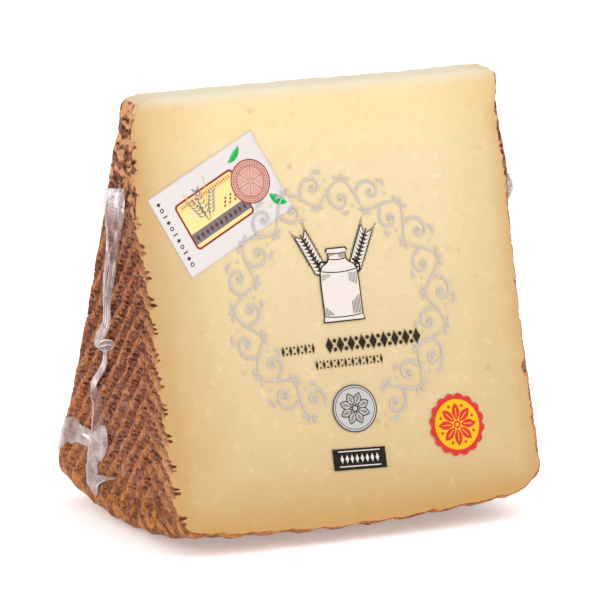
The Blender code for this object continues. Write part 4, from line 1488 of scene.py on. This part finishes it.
def fin_body(seed):
    """The back seam: from the left flat round the edge, across the back cut face and on to the right flat.

    Its base runs along an unrolled line. At each edge of the wedge it turns a quarter circle.
    """
    whole, corner = 2 * HALF_HEIGHT, FIN_CORNER
    fields = {}

    def place(a, t, d):
        w = FIN_START + (t + 1) / 2 * (whole + FIN_PAST_END - FIN_START)
        past_edge = 1 - smooth_step(0.5, 9.0, w)
        spread, flare = (smooth_step(*span, w) * past_edge for span in ((-8.0, -5.5), (-4.0, -0.5)))
        wide = FIN_HALF_WIDTH + spread + flare
        depth = FIN_DEPTH + 2.0 * flare + 0.5 * np.sin(w * 0.33) * smooth_step(0.0, 6.0, w)
        depth = depth + a * wide * (1 + 0.08 * noise_at(w, a, 0.0, 2.0, seed))
        crease = pleats(a, w, FIN_PLEATS, seed + 3) * (0.3 + 0.5 * smooth_step(0.0, 4.0, w))
        # Painted glints and the painted highlight of the bend, laid into the creases, which also raise the
        # film a little
        crease = crease + sum(bell(w, *along) * bell(a, *across) for along, across in FIN_GLINTS)
        crease = crease + bell(w, *FIN_BEND_HIGHLIGHT)
        crumple = noise_share(w, depth, 3.0, 1.6, seed + 1)
        crimp = 0.5 + 0.5 * np.cos(2 * math.pi * w / 1.1)
        up = SEAM_THIN + 0.45 * (0.2 + 0.4 * crease + 0.3 * crumple + 0.1 * crimp) * thinned(a)
        stand = FIN_STAND + np.where(d > 0, up, 0.0)
        fields["crease"] = np.clip(crease + bell(np.abs(a), 0.93, 0.05, 0.25), 0, 1)
        fields["haze"] = (0.62 + 0.2 * crumple + 0.06 * crimp) * (1 - bell(w, -4.5, 3.0, 0.45))
        v = np.where(w < whole / 2, w, whole - w)
        turn = np.clip((v + corner) / (2 * corner), 0.0, 1.0) * math.pi / 2
        p = corner - (corner + stand) * np.cos(turn) + np.maximum(v - corner, 0.0)
        q = corner - (corner + stand) * np.sin(turn) + np.maximum(-v - corner, 0.0)
        side = np.where(w < whole / 2, -1.0, 1.0)
        y = half_width(depth) - q / math.cos(HALF_ANGLE)
        swell = flat_swell(side, y, depth) * (1 - smooth_step(0.0, 3.0, p))
        return np.stack([side * (HALF_HEIGHT + swell - p) + WHEEL_MIDDLE_X, y, TIP_ABOVE_FLOOR - depth], -1)

    return *closed_box(*(even(rows) for rows in FIN_ROWS), even(2), place), fields


class CHEESE_OT_wedge(bpy.types.Operator):
    """Builds the wedge: paste, rind, woven prints and the belt."""

    bl_idname = "cheese.wedge"
    bl_label = "Build Cheese Wedge"

    def execute(self, context):
        fields = {}

        def place(a, t, d):
            points, found = wedge_surface(a, t, d, 0.0, 0.0)
            fields.update(found)
            return points

        a = edge_spaced(CHEESE_ROWS[0], CHEESE_FLAT_EXTRA, HALF_HEIGHT)
        t = edge_spaced(CHEESE_ROWS[1], CHEESE_CUT_EXTRA, 1.0)
        d = np.concatenate([CHEESE_TIP_EXTRA, np.linspace(0.02, 1.0, CHEESE_ROWS[2])])
        points, faces = closed_box(a, t, d, place)
        cheese = make_piece("cheese", points, faces, cheese_finish(), fields)
        add_to_part(cheese, "cheese_and_rind", "manchego_wedge")
        return {"FINISHED"}


class CHEESE_OT_film(bpy.types.Operator):
    """Wraps the clear film round the wedge and its label."""

    bl_idname = "cheese.film"
    bl_label = "Wrap Clear Film"

    def execute(self, context):
        gap, bridging = size("film", "gap"), settings().film.bridging

        def place(a, t, d):
            points, _ = wedge_surface(a, t, d, gap, bridging)
            across = points[:, 0] + HALF_HEIGHT - WHEEL_MIDDLE_X
            depth = TIP_ABOVE_FLOOR - points[:, 2]
            down = depth / math.cos(HALF_ANGLE)
            extra = (film_lift(across, down) - gap) * (t < -0.98)
            outward = np.array([0.0, -math.cos(HALF_ANGLE), math.sin(HALF_ANGLE)])
            return points + extra[:, None] * outward

        a = edge_spaced(FILM_ROWS[0], FILM_FLAT_EXTRA, HALF_HEIGHT)
        t = edge_spaced(FILM_ROWS[1], FILM_CUT_EXTRA, 1.0)
        d = np.linspace(0.0, 1.0, FILM_ROWS[2])
        points, faces = closed_box(a, t, d, place)
        film = make_piece("film_skin", points, faces, clear_film_finish())
        add_to_part(film, "clear_film", "manchego_wedge")
        return {"FINISHED"}


class CHEESE_OT_label(bpy.types.Operator):
    """Lays the paper label under the film, with its print."""

    bl_idname = "cheese.label"
    bl_label = "Lay Paper Label"

    def execute(self, context):
        ink = Ink()
        label_design(ink)
        turn = settings().label.turn
        wide, high, thick = (size("label", name) for name in ("width", "height", "thick"))

        def on_face(u, v, lift):
            du, dv = u - wide / 2, v - high / 2
            across = size("label", "across") + du * math.cos(turn) + dv * math.sin(turn)
            down = size("label", "down") - du * math.sin(turn) + dv * math.cos(turn)
            return face_point(across, down, lift)

        def place(a, t, d):
            return on_face((a + 1) / 2 * wide, (t + 1) / 2 * high, LABEL_LIFT + (d + 1) / 2 * thick)

        def on_paper(u, v, layer):
            return on_face(u, v, LABEL_LIFT + thick + LABEL_INK_LIFT + LABEL_INK_LAYER * layer)

        points, faces = closed_box(*(even(rows) for rows in LABEL_ROWS), even(2), place)
        sheet = make_piece("paper_label_sheet", points, faces, paper_finish())
        add_to_part(sheet, "label_paper", "paper_label")
        add_to_part(ink.lay("label_print", ink_finish("label_ink"), on_paper), "label_paper")
        return {"FINISHED"}


class CHEESE_OT_print(bpy.types.Operator):
    """Prints the ring, emblem, rows, medallion, bar and round seal on the film."""

    bl_idname = "cheese.print"
    bl_label = "Print Film"

    def execute(self, context):
        look = settings().print
        ink = Ink()
        vine_ring(ink, RING_CENTRE, RING_RADIUS, RING_BAYS, RING_OPENING, look.silver)
        for way in (-1, 1):
            foot, top = ((EARS_MIDDLE + way * out, down) for out, down in (EARS_FOOT, EARS_TOP))
            wheat_ear(ink, foot, top, look.white, look.black)
        milk_churn(ink, *CHURN_PLACE, look.white, look.black)
        for row in ORNAMENT_ROWS:
            ornament_row(ink, *row, look.black)
        medallion(ink, *MEDALLION, look.grey, look.dark)
        ink.add(np.array(PLATE), look.plate, 0.97)
        for start, end in PLATE_LINES:
            ink.line(start, end, 0.24, look.pale, 0.95, 1)
        for place in range(PLATE_LOZENGES):
            centre = np.array(PLATE_LOZENGE_START) + place * np.array(PLATE_LOZENGE_STEP)
            lozenge(ink, centre, *PLATE_LOZENGE_SIZE, look.pale, 1)
        round_seal(ink, *ROUND_SEAL, look.red, look.yellow)
        add_to_part(face_ink(ink, "film_print", ink_finish("film_ink")), "clear_film")
        return {"FINISHED"}


class CHEESE_OT_seals(bpy.types.Operator):
    """Folds the film's seams onto both flats and across the back."""

    bl_idname = "cheese.seals"
    bl_label = "Fold Film Seams"

    def execute(self, context):
        finish = seal_finish()
        left = [seam_body(-1, LEFT_SEAM, SEAM_PLEATS, LEFT_SEED)]
        for number, (lines, *route) in enumerate(LEFT_FOLDS):
            seed = FOLD_SEED + FOLD_SEED_STEP * number
            left.append(seam_body(-1, route, FOLD_PLEATS, seed, 0.4, lines))
        right = [seam_body(1, RIGHT_SEAM, SEAM_PLEATS, RIGHT_SEED)]
        right.append(seam_body(1, RIGHT_TUFT, FOLD_PLEATS, TUFT_SEED, 1.0))
        for name, node, bodies in (("seam_left", "film_end_seal_left", left),
                                   ("seam_right", "film_end_seal_right", right),
                                   ("seam_back", "film_fin_seal", [fin_body(FIN_SEED)])):
            points, faces, fields = join_bodies(bodies)
            add_to_part(make_piece(name, points, faces, finish, fields), "clear_film", node)
        return {"FINISHED"}


class CHEESE_OT_stage(bpy.types.Operator):
    """Sets up the pale floor, the soft light and the camera."""

    bl_idname = "cheese.stage"
    bl_label = "Set Stage"

    def execute(self, context):
        stage = settings().stage
        half = stage.floor / 2 / MM
        x, y = np.meshgrid(even(FLOOR_ROWS) * half, even(FLOOR_ROWS) * half, indexing="ij")
        points = np.stack([x, y, np.zeros_like(x)], -1).reshape(-1, 3)
        faces = box_faces(np.arange(FLOOR_ROWS ** 2).reshape(FLOOR_ROWS, FLOOR_ROWS))
        floor = make_piece("floor", points, faces, floor_finish())

        world = bpy.data.worlds.new("surroundings")
        world.use_nodes = True
        background = world.node_tree.nodes["Background"]
        background.inputs[0].default_value = (1.0, 1.0, 1.0, 1.0)
        background.inputs[1].default_value = stage.sky
        context.scene.world = world
        soft_light("key", stage.key, KEY_PLACE)
        soft_light("fill", stage.fill, FILL_PLACE)

        camera = bpy.data.cameras.new("camera")
        camera.lens, camera.sensor_width = CAMERA_LENS, CAMERA_SENSOR
        camera.clip_end = 20.0
        viewer = bpy.data.objects.new("camera", camera)
        viewer.matrix_world = camera_matrix()
        context.scene.collection.objects.link(viewer)
        context.scene.camera = viewer
        context.scene.view_settings.view_transform = "Standard"
        return {"FINISHED"}


def camera_matrix():
    """The camera's place: back from its target along its angles, then rolled about its own axis."""
    level, rise = math.cos(CAMERA_HEIGHT), math.sin(CAMERA_HEIGHT)
    back = np.array([math.sin(CAMERA_AZIMUTH) * level, -math.cos(CAMERA_AZIMUTH) * level, rise])
    right = np.cross(-back, (0.0, 0.0, 1.0))
    right /= np.linalg.norm(right)
    up = np.cross(right, -back)
    cos, sin = math.cos(CAMERA_ROLL), math.sin(CAMERA_ROLL)
    matrix = np.eye(4)
    matrix[:3, 0] = cos * right + sin * up
    matrix[:3, 1] = cos * up - sin * right
    matrix[:3, 2] = back
    matrix[:3, 3] = np.array(CAMERA_TARGET) + back * CAMERA_DISTANCE
    return Matrix(matrix.tolist())


def soft_light(name, power, place):
    """A square area light that faces the cheese."""
    light = bpy.data.lights.new(name, "AREA")
    light.energy, light.size = power, LIGHT_SIDE
    lamp = bpy.data.objects.new(name, light)
    away = Vector(place) - Vector((0.0, 0.0, LIGHT_AIM))
    lamp.matrix_world = Matrix.Translation(place) @ away.to_track_quat("Z", "Y").to_matrix().to_4x4()
    bpy.context.scene.collection.objects.link(lamp)


class CHEESE_PT_panel(bpy.types.Panel):
    """Lists the steps and their values."""

    bl_idname = "CHEESE_PT_panel"
    bl_label = "Manchego Wedge"
    bl_space_type = "VIEW_3D"
    bl_region_type = "UI"
    bl_category = "Cheese"

    def draw(self, context):
        for operator in OPERATORS:
            self.layout.operator(operator.bl_idname)
        for group in ("rind", "paste", "film", "label", "print", "stage"):
            box = self.layout.box()
            values = getattr(settings(), group)
            for name in values.__annotations__:
                box.prop(values, name)


OPERATORS = (
    CHEESE_OT_wedge,
    CHEESE_OT_film,
    CHEESE_OT_label,
    CHEESE_OT_print,
    CHEESE_OT_seals,
    CHEESE_OT_stage,
)
GROUPS = (
    RindSettings,
    PasteSettings,
    FilmSettings,
    LabelSettings,
    PrintSettings,
    StageSettings,
    ManchegoSettings,
)


def register():
    for kind in (*GROUPS, *OPERATORS, CHEESE_PT_panel):
        bpy.utils.register_class(kind)
    bpy.types.Scene.manchego = PointerProperty(type=ManchegoSettings)


def unregister():
    del bpy.types.Scene.manchego
    for kind in (CHEESE_PT_panel, *reversed(OPERATORS), *reversed(GROUPS)):
        bpy.utils.unregister_class(kind)


def main():
    """Registers the add-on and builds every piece."""
    register()
    bpy.ops.cheese.wedge()
    bpy.ops.cheese.film()
    bpy.ops.cheese.label()
    bpy.ops.cheese.print()
    bpy.ops.cheese.seals()
    bpy.ops.cheese.stage()


if __name__ == "__main__":
    main()
